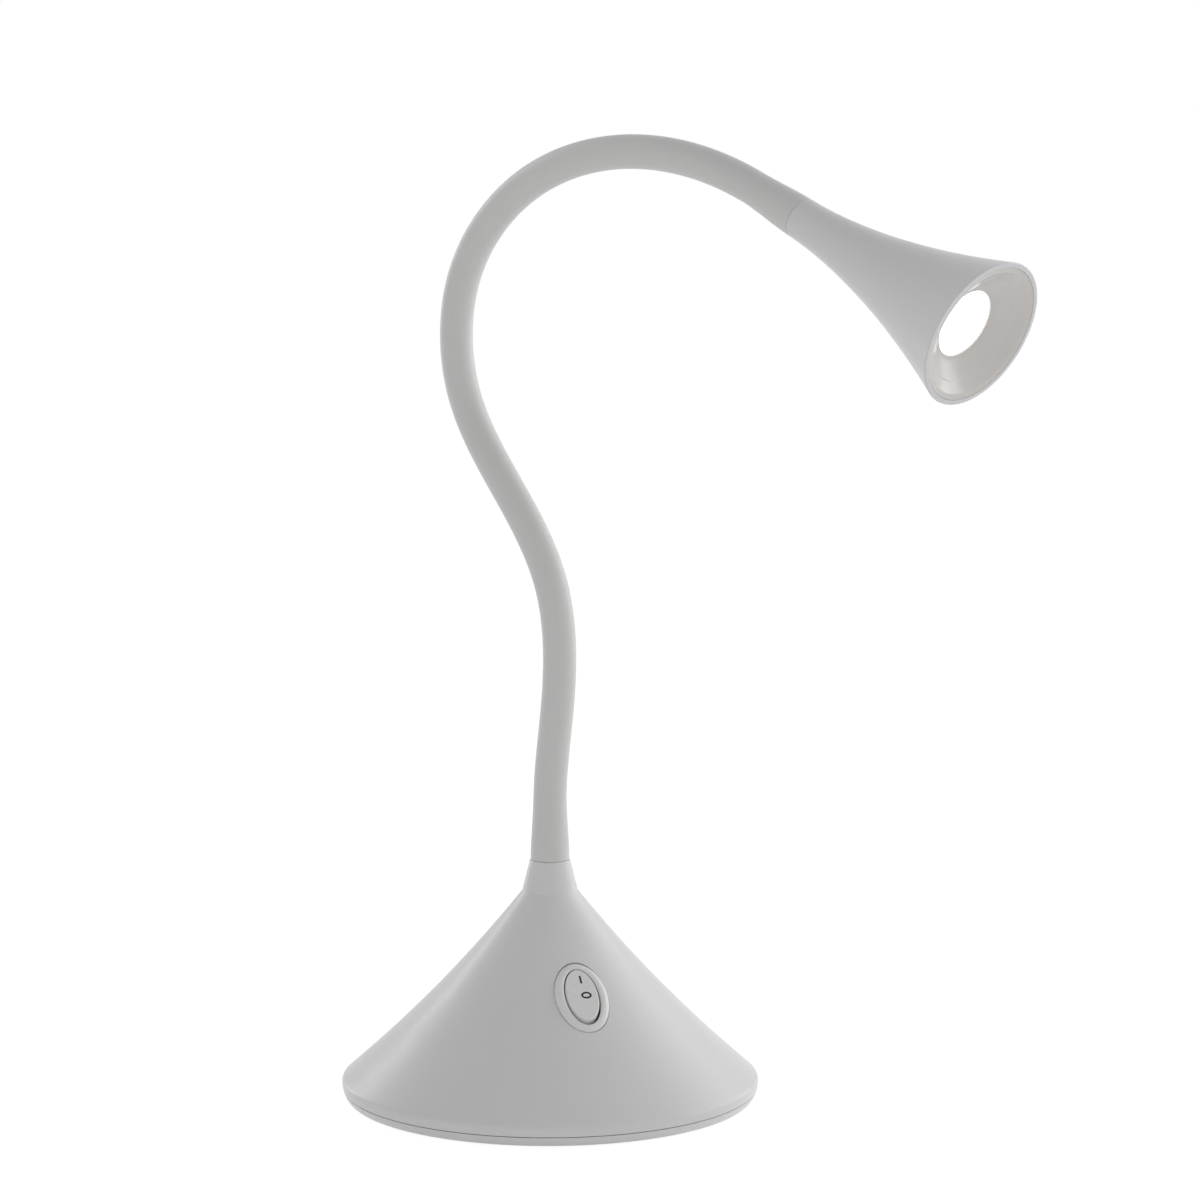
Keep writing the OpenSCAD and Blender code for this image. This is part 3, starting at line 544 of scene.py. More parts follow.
def at_ballast_screws(make):
    """Copies of what make() gives, one at each screw of the ballast."""
    return round_about(make, BALLAST_SCREWS, settings().base.ballast_at)


def carve(piece, tool, how):
    """Joins the tool to the piece or cuts it out, and takes the tool away."""
    step = piece.modifiers.new(how.title(), "BOOLEAN")
    step.operation = how
    step.solver = "EXACT"
    step.object = tool
    name = piece.name
    piece.name = name + "_work"
    done = plain(piece, name)
    take(tool)
    return done


def ring_skin(rings, name, close_ends=True):
    """A mesh through rings of equal count, capped at both ends."""
    around = len(rings[0])
    points = [point for ring in rings for point in ring]
    faces = [
        (
            i * around + j,
            i * around + (j + 1) % around,
            (i + 1) * around + (j + 1) % around,
            (i + 1) * around + j,
        )
        for i in range(len(rings) - 1)
        for j in range(around)
    ]
    if close_ends:
        faces.append(tuple(reversed(range(around))))
        faces.append(tuple(range((len(rings) - 1) * around, len(rings) * around)))
    mesh = bpy.data.meshes.new(name)
    mesh.from_pydata(points, [], faces)
    made = bmesh.new()
    made.from_mesh(mesh)
    bmesh.ops.remove_doubles(made, verts=made.verts, dist=WELD)
    bmesh.ops.recalc_face_normals(made, faces=made.faces)
    made.to_mesh(mesh)
    made.free()
    crisp(mesh)
    return put(mesh, name)


def oval(a, b, z, number=96):
    """A level ring of points, with its half sizes along x and y."""
    turns = [2 * math.pi * i / number for i in range(number)]
    return [(a * math.cos(turn), b * math.sin(turn), z) for turn in turns]


def finish_with(piece, material):
    """Gives the whole piece one material."""
    piece.data.materials.clear()
    piece.data.materials.append(material)
    return piece


def settle(piece, body, slot, *nodes):
    """The finished piece rides its body and stands for its CAD nodes."""
    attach(piece, body)
    if nodes:
        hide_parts(*nodes)


# ---- Geometry node trees -------------------------------------------------------------------

GEOMETRY, FLOAT, WHOLE = "NodeSocketGeometry", "NodeSocketFloat", "NodeSocketInt"
MATERIAL, COLOUR, VECTOR = "NodeSocketMaterial", "NodeSocketColor", "NodeSocketVector"


class Nodes:
    """Short ways to add nodes to a node tree and to join their sockets."""

    def __init__(self, tree):
        self.tree = tree

    def add(self, kind, links=None, **options):
        node = self.tree.nodes.new(kind)
        for option, value in options.items():
            setattr(node, option, value)
        for socket, value in (links or {}).items():
            self.join(value, node.inputs[socket])
        return node

    def join(self, value, socket):
        if isinstance(value, bpy.types.NodeSocket):
            self.tree.links.new(value, socket)
        else:
            socket.default_value = value

    def math(self, operation, first, second=0.0, clamp=False):
        node = self.add(
            "ShaderNodeMath", {0: first, 1: second}, operation=operation, use_clamp=clamp
        )
        return node.outputs[0]


class Tree(Nodes):
    """A new node group with named inputs and outputs."""

    def __init__(self, name, kind, inputs, outputs):
        super().__init__(bpy.data.node_groups.new(name, kind))
        for direction, sockets in (("INPUT", inputs), ("OUTPUT", outputs)):
            for label, socket, default in sockets:
                item = self.tree.interface.new_socket(label, in_out=direction, socket_type=socket)
                if default is not None:
                    item.default_value = default
        self.inputs = self.add("NodeGroupInput").outputs
        self.outputs = self.add("NodeGroupOutput").inputs

    def result(self, **sockets):
        for label, value in sockets.items():
            self.join(value, self.outputs[label])
        return self.tree


def dress(piece, tree, values):
    """Puts a geometry node tree on the piece and sets its named inputs."""
    step = piece.modifiers.new(tree.name, "NODES")
    step.node_group = tree
    for item in tree.interface.items_tree:
        if item.item_type == "SOCKET" and item.in_out == "INPUT" and item.name in values:
            step[item.identifier] = values[item.name]


def ending(tree, geometry):
    """Every tree ends in real geometry with its material set."""
    real = tree.add("GeometryNodeRealizeInstances", {"Geometry": geometry})
    dressed = tree.add(
        "GeometryNodeSetMaterial",
        {"Geometry": real.outputs[0], "Material": tree.inputs["Material"]},
    )
    return tree.result(Geometry=dressed.outputs[0])


def lathe_tree():
    """Turns a profile about z."""
    made = bpy.data.node_groups.get("Lathe")
    if made:
        return made
    tree = Tree(
        "Lathe",
        "GeometryNodeTree",
        [("Geometry", GEOMETRY, None), ("Segments", WHOLE, 192), ("Material", MATERIAL, None)],
        [("Geometry", GEOMETRY, None)],
    )
    profile = tree.add("GeometryNodeMeshToCurve", {"Mesh": tree.inputs["Geometry"]})
    path = tree.add(
        "GeometryNodeCurvePrimitiveCircle",
        {"Resolution": tree.inputs["Segments"], "Radius": LATHE_RADIUS},
    )
    skin = tree.add(
        "GeometryNodeCurveToMesh", {"Curve": path.outputs[0], "Profile Curve": profile.outputs[0]}
    )
    whole = tree.add("GeometryNodeMergeByDistance", {"Geometry": skin.outputs[0], "Distance": WELD})
    return ending(tree, whole.outputs[0])


def sleeve_tree():
    """Sweeps the sleeve's skin along a path in the neck's plane, with a flare at either end."""
    made = bpy.data.node_groups.get("Neck Sleeve")
    if made:
        return made
    tree = Tree(
        "Neck Sleeve",
        "GeometryNodeTree",
        [
            ("Geometry", GEOMETRY, None),
            ("Radius", FLOAT, 0.005),
            ("Foot Radius", FLOAT, 0.005),
            ("Head Radius", FLOAT, 0.005),
            ("Flare Length", FLOAT, 0.015),
            ("Foot Edge", FLOAT, 0.0),
            ("Head Edge", FLOAT, 0.0),
            ("Segments", WHOLE, 72),
            ("Material", MATERIAL, None),
        ],
        [("Geometry", GEOMETRY, None)],
    )
    line = tree.add("GeometryNodeMeshToCurve", {"Mesh": tree.inputs["Geometry"]})
    path = tree.add(
        "GeometryNodeSetCurveNormal",
        {"Curve": line.outputs[0], "Normal": (0, 1, 0)},
        mode="FREE",
    )
    along = tree.add("GeometryNodeSplineParameter").outputs["Length"]
    whole = tree.add("GeometryNodeSplineLength").outputs["Length"]
    to_end = tree.math("SUBTRACT", whole, along)
    radius, least = tree.inputs["Radius"], 1e-6
    for distance, end, edge in (
        (along, tree.inputs["Foot Radius"], tree.inputs["Foot Edge"]),
        (to_end, tree.inputs["Head Radius"], tree.inputs["Head Edge"]),
    ):
        # the flare eases in and out along its length
        eased = tree.math("DIVIDE", distance, tree.inputs["Flare Length"], clamp=True)
        square = tree.math("MULTIPLY", eased, eased)
        slack = tree.math("SUBTRACT", 3.0, tree.math("MULTIPLY", eased, 2.0))
        left = tree.math("SUBTRACT", 1.0, tree.math("MULTIPLY", square, slack))
        extra = tree.math("MULTIPLY", tree.math("SUBTRACT", end, tree.inputs["Radius"]), left)
        radius = tree.math("ADD", radius, extra)
        # a quarter circle rounds the end's edge, and least stands in for a width of zero
        size = tree.math("MAXIMUM", edge, least)
        near = tree.math("SUBTRACT", 1.0, tree.math("DIVIDE", distance, size), clamp=True)
        level = tree.math("SUBTRACT", 1.0, tree.math("POWER", near, 2.0))
        fall = tree.math("SUBTRACT", 1.0, tree.math("SQRT", level))
        radius = tree.math("SUBTRACT", radius, tree.math("MULTIPLY", edge, fall))
    section = tree.add(
        "GeometryNodeCurvePrimitiveCircle", {"Resolution": tree.inputs["Segments"], "Radius": 1.0}
    )
    skin = tree.add(
        "GeometryNodeCurveToMesh",
        {"Curve": path.outputs[0], "Profile Curve": section.outputs[0], "Scale": radius},
    )
    return ending(tree, skin.outputs[0])


def ring_tree():
    """Repeats the piece round the z axis, each copy turned a little about its own axis."""
    made = bpy.data.node_groups.get("Ring Of Pieces")
    if made:
        return made
    tree = Tree(
        "Ring Of Pieces",
        "GeometryNodeTree",
        [
            ("Geometry", GEOMETRY, None),
            ("Number", WHOLE, 4),
            ("Distance", FLOAT, 0.05),
            ("First Angle", FLOAT, 0.0),
            ("Seed", WHOLE, 7),
            ("Material", MATERIAL, None),
        ],
        [("Geometry", GEOMETRY, None)],
    )
    ring = tree.add(
        "GeometryNodeMeshCircle",
        {"Vertices": tree.inputs["Number"], "Radius": tree.inputs["Distance"]},
    )
    turn = tree.add("ShaderNodeCombineXYZ", {"Z": tree.inputs["First Angle"]})
    turned_ring = tree.add(
        "GeometryNodeTransform", {"Geometry": ring.outputs[0], "Rotation": turn.outputs[0]}
    )
    spin = tree.add("FunctionNodeRandomValue", {"Seed": tree.inputs["Seed"]}, data_type="FLOAT")
    spin.inputs[2].default_value, spin.inputs[3].default_value = -math.pi, math.pi
    twist = tree.add("ShaderNodeCombineXYZ", {"Z": spin.outputs[1]})
    copies = tree.add(
        "GeometryNodeInstanceOnPoints",
        {
            "Points": turned_ring.outputs[0],
            "Instance": tree.inputs["Geometry"],
            "Rotation": twist.outputs[0],
        },
    )
    return ending(tree, copies.outputs[0])


# ---- Shader node groups and finishes -------------------------------------------------------


def grain_group():
    """Moulded or drawn skin: a drifting shade, a varying gloss and a fine grain."""
    made = bpy.data.node_groups.get("Skin Grain")
    if made:
        return made
    tree = Tree(
        "Skin Grain",
        "ShaderNodeTree",
        [
            ("Colour", COLOUR, (0.6, 0.6, 0.6, 1)),
            ("Drift", FLOAT, 0.04),
            ("Gloss Low", FLOAT, 0.3),
            ("Gloss High", FLOAT, 0.4),
            ("Grain Size", FLOAT, 0.4),
            ("Grain Depth", FLOAT, 0.01),
        ],
        [("Colour", COLOUR, None), ("Roughness", FLOAT, None), ("Normal", VECTOR, None)],
    )
    where = tree.add("ShaderNodeTexCoord").outputs["Object"]
    clouds = tree.add(
        "ShaderNodeTexNoise", {"Vector": where, "Scale": 38.0, "Detail": 3.0, "Roughness": 0.5}
    )
    shade = tree.add(
        "ShaderNodeMapRange", {"Value": clouds.outputs["Fac"], "From Min": 0.3, "From Max": 0.7}
    )
    darker = tree.math("MULTIPLY", shade.outputs[0], tree.inputs["Drift"])
    shaded = tree.add(
        "ShaderNodeMix",
        {0: darker, 6: tree.inputs["Colour"], 7: (0.08, 0.075, 0.07, 1)},
        data_type="RGBA",
    )
    scale = tree.math("DIVIDE", 1000.0, tree.inputs["Grain Size"])
    grain = tree.add(
        "ShaderNodeTexNoise", {"Vector": where, "Scale": scale, "Detail": 2.0, "Roughness": 0.55}
    )
    pits = tree.add(
        "ShaderNodeTexVoronoi",
        {"Vector": where, "Scale": tree.math("MULTIPLY", scale, 0.6)},
        feature="SMOOTH_F1",
    )
    height = tree.math(
        "ADD", grain.outputs["Fac"], tree.math("MULTIPLY", pits.outputs["Distance"], 0.5)
    )
    bump = tree.add(
        "ShaderNodeBump",
        {
            "Strength": 1.0,
            "Distance": tree.math("MULTIPLY", tree.inputs["Grain Depth"], MM),
            "Height": height,
        },
    )
    wear = tree.add(
        "ShaderNodeTexNoise", {"Vector": where, "Scale": 120.0, "Detail": 4.0, "Roughness": 0.6}
    )
    gloss = tree.add(
        "ShaderNodeMapRange",
        {
            "Value": wear.outputs["Fac"],
            "From Min": 0.3,
            "From Max": 0.7,
            "To Min": tree.inputs["Gloss Low"],
            "To Max": tree.inputs["Gloss High"],
        },
    )
    return tree.result(
        Colour=shaded.outputs[2], Roughness=gloss.outputs[0], Normal=bump.outputs[0]
    )


class Finish(Nodes):
    """A material with one Principled shader."""

    def __init__(self, name):
        self.material = bpy.data.materials.new(name)
        self.material.use_nodes = True
        super().__init__(self.material.node_tree)
        self.shader = self.tree.nodes["Principled BSDF"]

    def grain(self, rgb, drift, gloss, size, depth):
        skin = self.add(
            "ShaderNodeGroup",
            {
                "Colour": (*rgb[:3], 1),
                "Drift": drift,
                "Gloss Low": gloss[0],
                "Gloss High": gloss[1],
                "Grain Size": size,
                "Grain Depth": depth,
            },
            node_tree=grain_group(),
        )
        for label, socket in (
            ("Colour", "Base Color"),
            ("Roughness", "Roughness"),
            ("Normal", "Normal"),
        ):
            self.join(skin.outputs[label], self.shader.inputs[socket])
        return self

    def constants(self, **values):
        for label, value in values.items():
            self.shader.inputs[label.replace("_", " ")].default_value = value
        return self


# name: colour, drift, gloss from and to, grain size and depth in mm, metallic
PLAIN_FINISHES = {
    "lead_black": ((0.012, 0.012, 0.013), 0.3, (0.42, 0.55), 0.4, 0.012, 0.0),
    "core_steel": ((0.46, 0.46, 0.47), 0.25, (0.24, 0.40), 0.3, 0.006, 1.0),
    "fitting_steel": ((0.56, 0.56, 0.57), 0.2, (0.20, 0.34), 0.2, 0.004, 1.0),
    "screw_steel": ((0.50, 0.50, 0.50), 0.25, (0.22, 0.38), 0.2, 0.005, 1.0),
    "rubber_dark": ((0.030, 0.030, 0.032), 0.3, (0.62, 0.80), 0.35, 0.03, 0.0),
    "ballast_iron": ((0.13, 0.125, 0.12), 0.6, (0.55, 0.80), 0.9, 0.08, 0.6),
    "tray_nylon": ((0.55, 0.55, 0.52), 0.12, (0.35, 0.5), 0.4, 0.015, 0.0),
    "board_green": ((0.02, 0.12, 0.05), 0.35, (0.22, 0.35), 1.2, 0.01, 0.0),
    "ferrite": ((0.035, 0.035, 0.04), 0.4, (0.45, 0.6), 0.3, 0.02, 0.0),
    "capacitor_can": ((0.02, 0.025, 0.07), 0.3, (0.2, 0.32), 0.5, 0.006, 0.0),
    "nylon_ivory": ((0.60, 0.57, 0.48), 0.15, (0.35, 0.48), 0.3, 0.01, 0.0),
    "contact_brass": ((0.62, 0.42, 0.16), 0.3, (0.2, 0.38), 0.3, 0.006, 1.0),
    "led_board_white": ((0.72, 0.72, 0.70), 0.08, (0.3, 0.42), 0.5, 0.006, 0.0),
    "led_phosphor": ((0.75, 0.60, 0.16), 0.2, (0.35, 0.5), 0.4, 0.01, 0.0),
    "sink_aluminium": ((0.62, 0.62, 0.63), 0.2, (0.26, 0.42), 0.5, 0.008, 1.0),
}


def finished(name, rgb, drift, gloss, size, depth, **constants):
    """The grained material of that name, made at its first use."""
    made = bpy.data.materials.get(name)
    if made:
        return made
    return Finish(name).grain(rgb, drift, gloss, size, depth).constants(**constants).material


def plain_finish(slot):
    """The finish of an inner piece, by its slot in the record."""
    *grain, metallic = PLAIN_FINISHES[slot]
    return finished("Lamp " + slot, *grain, Metallic=metallic)


def shell_finish():
    """Satin moulded plastic of the base and the head."""
    return finished(
        "Moulded shell",
        settings().finishes.shell,
        drift=0.02,
        gloss=(0.29, 0.37),
        size=0.35,
        depth=0.004,
        IOR=1.50,
        Specular_IOR_Level=0.26,
    )


def switch_finish():
    """Smoother moulded plastic of the switch."""
    return finished(
        "Moulded switch",
        settings().finishes.switch,
        drift=0.02,
        gloss=(0.24, 0.32),
        size=0.4,
        depth=0.003,
        IOR=1.50,
    )


def print_finish():
    """Pad-printed marks of the switch."""
    return finished(
        "Printed marks",
        settings().finishes.marks,
        drift=0.2,
        gloss=(0.35, 0.5),
        size=0.15,
        depth=0.004,
        Specular_IOR_Level=0.15,
    )


def sleeve_finish():
    """Matt silicone with a soft sheen."""
    return finished(
        "Silicone sleeve",
        settings().finishes.sleeve,
        drift=0.025,
        gloss=(0.42, 0.52),
        size=0.3,
        depth=0.004,
        IOR=1.43,
        Sheen_Weight=0.12,
        Sheen_Roughness=0.4,
    )


def reflector_finish():
    """Glossy dish with very faint moulding waves."""
    return finished(
        "Glossy reflector",
        settings().finishes.reflector,
        drift=0.015,
        gloss=(0.20, 0.27),
        size=4.0,
        depth=0.006,
        IOR=1.52,
    )


def window_finish():
    """Frosted window, lit from behind, a little warmer towards its edge."""
    size, looks = settings().head, settings().finishes
    finish = Finish("Lit frosted window").grain(
        (0.8, 0.79, 0.77), drift=0.02, gloss=(0.4, 0.5), size=0.3, depth=0.01
    )
    middle = on_head() @ Vector((0, 0, size.length - size.window_depth))
    centred = finish.add(
        "ShaderNodeMapping",
        {
            "Vector": finish.add("ShaderNodeTexCoord").outputs["Object"],
            "Location": middle,
            "Scale": (size.window_r,) * 3,
        },
        vector_type="TEXTURE",
    )
    fall = finish.add(
        "ShaderNodeTexGradient", {"Vector": centred.outputs[0]}, gradient_type="SPHERICAL"
    )
    warm = finish.add("ShaderNodeValToRGB", {"Fac": fall.outputs["Fac"]})
    warm.color_ramp.elements[0].color = looks.light
    warm.color_ramp.elements[1].color = (1, 1, 1, 1)
    warm.color_ramp.elements[1].position = 0.35
    finish.join(warm.outputs[0], finish.shader.inputs["Emission Color"])
    return finish.constants(Emission_Strength=looks.light_strength).material


# ---- Pieces --------------------------------------------------------------------------------


def cover_outline():
    """The cover's outline (radius, height): spout, cone, rim, lower lip and inner wall."""
    size = settings().base
    lip_r = BASE_RADIUS - size.lip
    deck = SPOUT_TOP - size.spout_h - size.deck_drop
    below = size.rim_z - 1 * MM  # where the lip begins under the rim
    side_steps, first_step, rim_steps = 56, 3, 12
    outer = rounded(
        [
            (size.bore_r, SPOUT_TOP, 0),
            (size.spout_top_r, SPOUT_TOP, size.edge_round),
            (*side_point(-size.foot_rise / cone_side()[3]), size.kink_round),
            (*side_point(0.04), 0),
        ]
    )[:-1]
    outer += [side_point(i / side_steps) for i in range(first_step, side_steps)]
    outer += [rim_point(turn) for turn in spread(size.rim_angle, 0, rim_steps + 1)]
    outer += [Vector((under_radius(z), z)) for z in (size.rim_z - 0.5 * MM, below)]
    lower = rounded(
        [
            (under_radius(below), below, 0),
            (under_radius(size.seam_z), size.seam_z, size.edge_round / 2),
            (lip_r, size.seam_z, 0.1 * MM),
            (lip_r, size.rim_z - LOOSE, 0),
        ]
    )[1:]
    wall = [side_point(i / side_steps, size.wall) for i in range(side_steps, 0, -1)]
    inner = [point for point in wall if point.y < deck and point.x < lip_r]
    run, last = cone_side()[1], inner[-1]
    meet = last - run * ((deck - last.y) / -run.y)
    return outer + lower + inner + [meet, Vector((size.bore_r, deck))]


def build_cover():
    """The cover with its screw bosses, its inlet boss, its holes and the switch's pocket."""
    size, switch, finish = settings().base, settings().switch, shell_finish()
    cover = turned(cover_outline(), "cover", size.segments, finish)

    inlet_boss = rounded(
        [
            (0, 0, 0),
            (size.inlet_boss_r, 0, 0),
            (size.inlet_boss_r, size.inlet_len, 0.3 * MM),
            (0, size.inlet_len, 0),
        ]
    )
    boss_low, boss_high = 4.6 * MM, 12 * MM
    bosses = [place(turned(inlet_boss, "boss", 64, finish, closed=False), on_inlet())]
    bosses += at_base_screws(lambda: rod(size.screw_boss_r, boss_low, boss_high))
    cover = carve(cover, joined(bosses, "bosses"), "UNION")

    inlet_hole = rod(size.grommet_r + SNUG, -1 * MM, size.inlet_len + 2 * MM, segments=64)
    hole_low, hole_high = 4.5 * MM, 10 * MM
    cuts = [place(inlet_hole, on_inlet())]
    cuts += at_base_screws(lambda: rod(size.screw_r + SNUG, hole_low, hole_high, segments=32))
    wide = (switch.bezel_a + switch.pocket_gap, switch.bezel_b + switch.pocket_gap)
    narrow = (switch.case_a + LOOSE, switch.case_b + LOOSE)
    through, clear, around = 9 * MM, 6 * MM, 128
    pocket = [
        oval(*narrow, -through, around),
        oval(*narrow, 0, around),
        oval(*wide, 0, around),
        oval(*wide, clear, around),
    ]
    cuts.append(place(ring_skin(pocket, "pocket"), on_switch()))
    cover = carve(cover, joined(cuts, "cuts"), "DIFFERENCE")
    settle(finish_with(cover, finish), "base", "shell_white", "base_cover")


def build_plate():
    """The base plate, with its pads and holes for the screws."""
    size, finish = settings().base, shell_finish()
    top = size.seam_z - size.seam_gap
    lip_out = BASE_RADIUS - size.lip - LOOSE
    lip_in, lip_top = lip_out - 1.6 * MM, size.seam_z + 1.5 * MM
    foot_in, foot_out = size.foot_in_r - LOOSE, size.foot_out_r + LOOSE
    edge = 0.15 * MM
    outline = rounded(
        [
            (0, size.plate_z, 0),
            (foot_in, size.plate_z, edge),
            (foot_in, size.foot_t, 0),
            (foot_out, size.foot_t, 0),
            (foot_out, size.plate_z, edge),
            (under_radius(size.plate_z) - 0.3 * MM, size.plate_z, 0.4 * MM),
            *[(under_radius(z), z, 0) for z in spread(size.plate_z, top, 9)[2:-1]],
            (under_radius(top), top, edge),
            (lip_out, top, 0),
            (lip_out, lip_top, 0.2 * MM),
            (lip_in, lip_top, 0.2 * MM),
            (lip_in, size.floor_z, 0.3 * MM),
            (0, size.floor_z, 0),
        ]
    )
    plate = turned(outline, "plate", size.segments, finish, closed=False)

    pad_r, pad_top, post_r, post_top = 4.5 * MM, 4.5 * MM, 3.2 * MM, 9 * MM
    sunk = size.floor_z - 0.5 * MM
    pads = at_base_screws(lambda: rod(pad_r, sunk, pad_top))
    pads += at_ballast_screws(lambda: rod(post_r, sunk, post_top))
    plate = carve(plate, joined(pads, "pads"), "UNION")

    head_r, shank_r = size.screw_head_r + LOOSE, size.screw_r + LOOSE
    below, seat, above = -0.5 * MM, 2.6 * MM, 8 * MM
    hole = [
        (0, below),
        (head_r, below),
        (head_r, seat),
        (shank_r, seat),
        (shank_r, above),
        (0, above),
    ]
    post_low, post_high = 1.5 * MM, 12 * MM
    holes = at_base_screws(lambda: turned(hole, "hole", 40, finish, closed=False))
    holes += at_ballast_screws(
        lambda: rod(size.screw_r + SNUG, post_low, post_high, segments=32)
    )
    plate = carve(plate, joined(holes, "holes"), "DIFFERENCE")
    settle(finish_with(plate, finish), "base", "shell_white", "base_plate")


def build_foot():
    """The grooved rubber ring that the lamp stands on."""
    size = settings().base
    pitch, deep, mouth, floor = 1.5 * MM, 0.25 * MM, 0.35 * MM, 0.15 * MM
    grooves = []
    for r in [size.foot_in_r + pitch * i for i in (1, 2, 3)]:
        grooves += [
            (r - mouth, 0, 0.08 * MM),
            (r - floor, deep, 0.05 * MM),
            (r + floor, deep, 0.05 * MM),
            (r + mouth, 0, 0.08 * MM),
        ]
    outline = rounded(
        [
            (size.foot_in_r, 0, 0.3 * MM),
            *grooves,
            (size.foot_out_r, 0, 0.3 * MM),
            (size.foot_out_r, size.foot_t, 0.1 * MM),
            (size.foot_in_r, size.foot_t, 0.1 * MM),
        ],
        steps=3,
    )
    foot = turned(outline, "foot_pad", size.segments, plain_finish("rubber_dark"))
    settle(foot, "base", "rubber_dark", "foot_ring")


def build_screws():
    """The screws that hold the base plate, each with a cross recess."""
    size, finish = settings().base, plain_finish("screw_steel")
    head_low, head_top, tip, chamfer = 0.8 * MM, 2.5 * MM, 9.3 * MM, 0.3 * MM
    outline = rounded(
        [
            (0, head_low, 0),
            (size.screw_head_r, head_low, 0.45 * MM),
            (size.screw_head_r, head_top, 0),
            (size.screw_r, head_top, 0),
            (size.screw_r, tip - chamfer, 0),
            (size.screw_r - chamfer, tip, 0),
            (0, tip, 0),
        ]
    )
    screw = turned(outline, "screw", 48, finish, closed=False)
    recess_long, recess_wide, recess_high, recess_z = 3.0 * MM, 0.55 * MM, 2.0 * MM, 0.75 * MM
    for turn in (0, math.pi / 2):
        recess = bar(recess_long, recess_wide, recess_high)
        place(recess, Matrix.Rotation(turn, 4, "Z") @ Matrix.Translation((0, 0, recess_z)))
        screw = carve(screw, recess, "DIFFERENCE")
    dress(
        screw,
        ring_tree(),
        {
            "Number": SCREWS,
            "Distance": size.screw_at,
            "First Angle": SCREW_TURN,
            "Seed": 7,
            "Material": finish,
        },
    )
    screws = finish_with(plain(screw, "plate_screws"), finish)
    settle(screws, "base", "screw_steel", "base_screws")


def build_inlet():
    """The rubber grommet of the cord inlet."""
    size = settings().base
    inner_flange, outer_flange, end_r = 4.4 * MM, 4.7 * MM, 3.9 * MM
    reach, past = size.inlet_len, 1.5 * MM
    outline = rounded(
        [
            (size.cord_r, -past, 0.3 * MM),
            (size.grommet_r, -past, 0.2 * MM),
            (inner_flange, 0, 0),
            (size.grommet_r, 0, 0),
            (size.grommet_r, reach, 0),
            (outer_flange, reach, 0),
            (outer_flange, reach + 0.1 * MM, 0.05 * MM),
            (end_r, reach + past, 0.35 * MM),
            (size.cord_r, reach + past, 0.4 * MM),
        ]
    )
    grommet = turned(outline, "grommet", 96, plain_finish("rubber_dark"))
    settle(place(grommet, on_inlet()), "base", "rubber_dark", "cord_grommet")


def pin_rod(gap=0.0):
    """A rod the size of the rocker's pin, along y through the origin."""
    size = settings().switch
    half = size.pin_half + gap
    lying = Matrix.Rotation(math.pi / 2, 4, "X")
    return place(rod(size.pin_r + gap, -half, half, segments=40), lying)


def build_housing():
    """The switch's housing under its domed bezel."""
    size = settings().switch
    a, b, top = size.bezel_a, size.bezel_b, size.bezel_t
    around, arc, lip_arc = 160, 10, 5
    skirt, chamfer = 0.45 * MM, 0.2 * MM
    rings = [
        oval(size.case_a - chamfer, size.case_b - chamfer, -size.case_h, around),
        oval(size.case_a, size.case_b, chamfer - size.case_h, around),
        oval(size.case_a, size.case_b, 0, around),
        oval(a, b, 0, around),
        oval(a, b, skirt * 0.6, around),
    ]
    for turn in spread(0, math.pi / 2, arc + 1):
        inset = size.bezel_round * (1 - math.cos(turn))
        rings.append(oval(a - inset, b - inset, skirt + (top - skirt) * math.sin(turn), around))
    edge, dip = 0.25 * MM, 0.08 * MM
    dome_a, dome_b = a - size.bezel_round, b - size.bezel_round
    lip_a, lip_b = size.window_a + edge, size.window_b + edge
    for part in (0.3, 0.6, 0.9):
        rest = 1 - part
        ring_a, ring_b = dome_a * rest + lip_a * part, dome_b * rest + lip_b * part
        rings.append(oval(ring_a, ring_b, top - dip * part, around))
    for turn in spread(0, math.pi / 2, lip_arc + 1):
        inset, drop = edge * (1 - math.sin(turn)), dip + edge * (1 - math.cos(turn))
        rings.append(oval(size.window_a + inset, size.window_b + inset, top - drop, around))
    hollow_a, hollow_b, hollow_top, hollow_floor = 10.1 * MM, 5.5 * MM, -0.3 * MM, -14.4 * MM
    rings += [
        oval(size.window_a, size.window_b, 0, around),
        oval(hollow_a, hollow_b, hollow_top, around),
        oval(hollow_a, hollow_b, hollow_floor, around),
    ]
    pin_hole = place(pin_rod(SNUG), Matrix.Translation((0, 0, pivot_height())))
    housing = carve(ring_skin(rings, "switch_case"), pin_hole, "DIFFERENCE")
    place(housing, on_switch())
    settle(finish_with(housing, switch_finish()), "base", "switch_white", "switch_housing")


def rocker_face(x):
    """Height of the rocker's face over its pivot: two halves that meet in a soft hollow."""
    size, soft, proud = settings().switch, 1.5 * MM, 0.1 * MM
    face = size.bezel_t + proud - pivot_height()
    upper, lower = math.tan(size.swing / 2), math.tan(size.swing / 2 - size.rocker_rise)
    hollow = (upper - lower) / 2 * (math.hypot(x, soft) - soft)
    return face / math.cos(size.swing / 2) - (upper + lower) / 2 * x + hollow


def on_face(loop, height=0.0):
    """A loop of (x, y) laid on the rocker's face, or a height over it."""
    return [(x, y, rocker_face(x) + height) for x, y in loop]


def flat_oval(a, b, number):
    """An oval loop of (x, y)."""
    return [(x, y) for x, y, _ in oval(a, b, 0, number)]


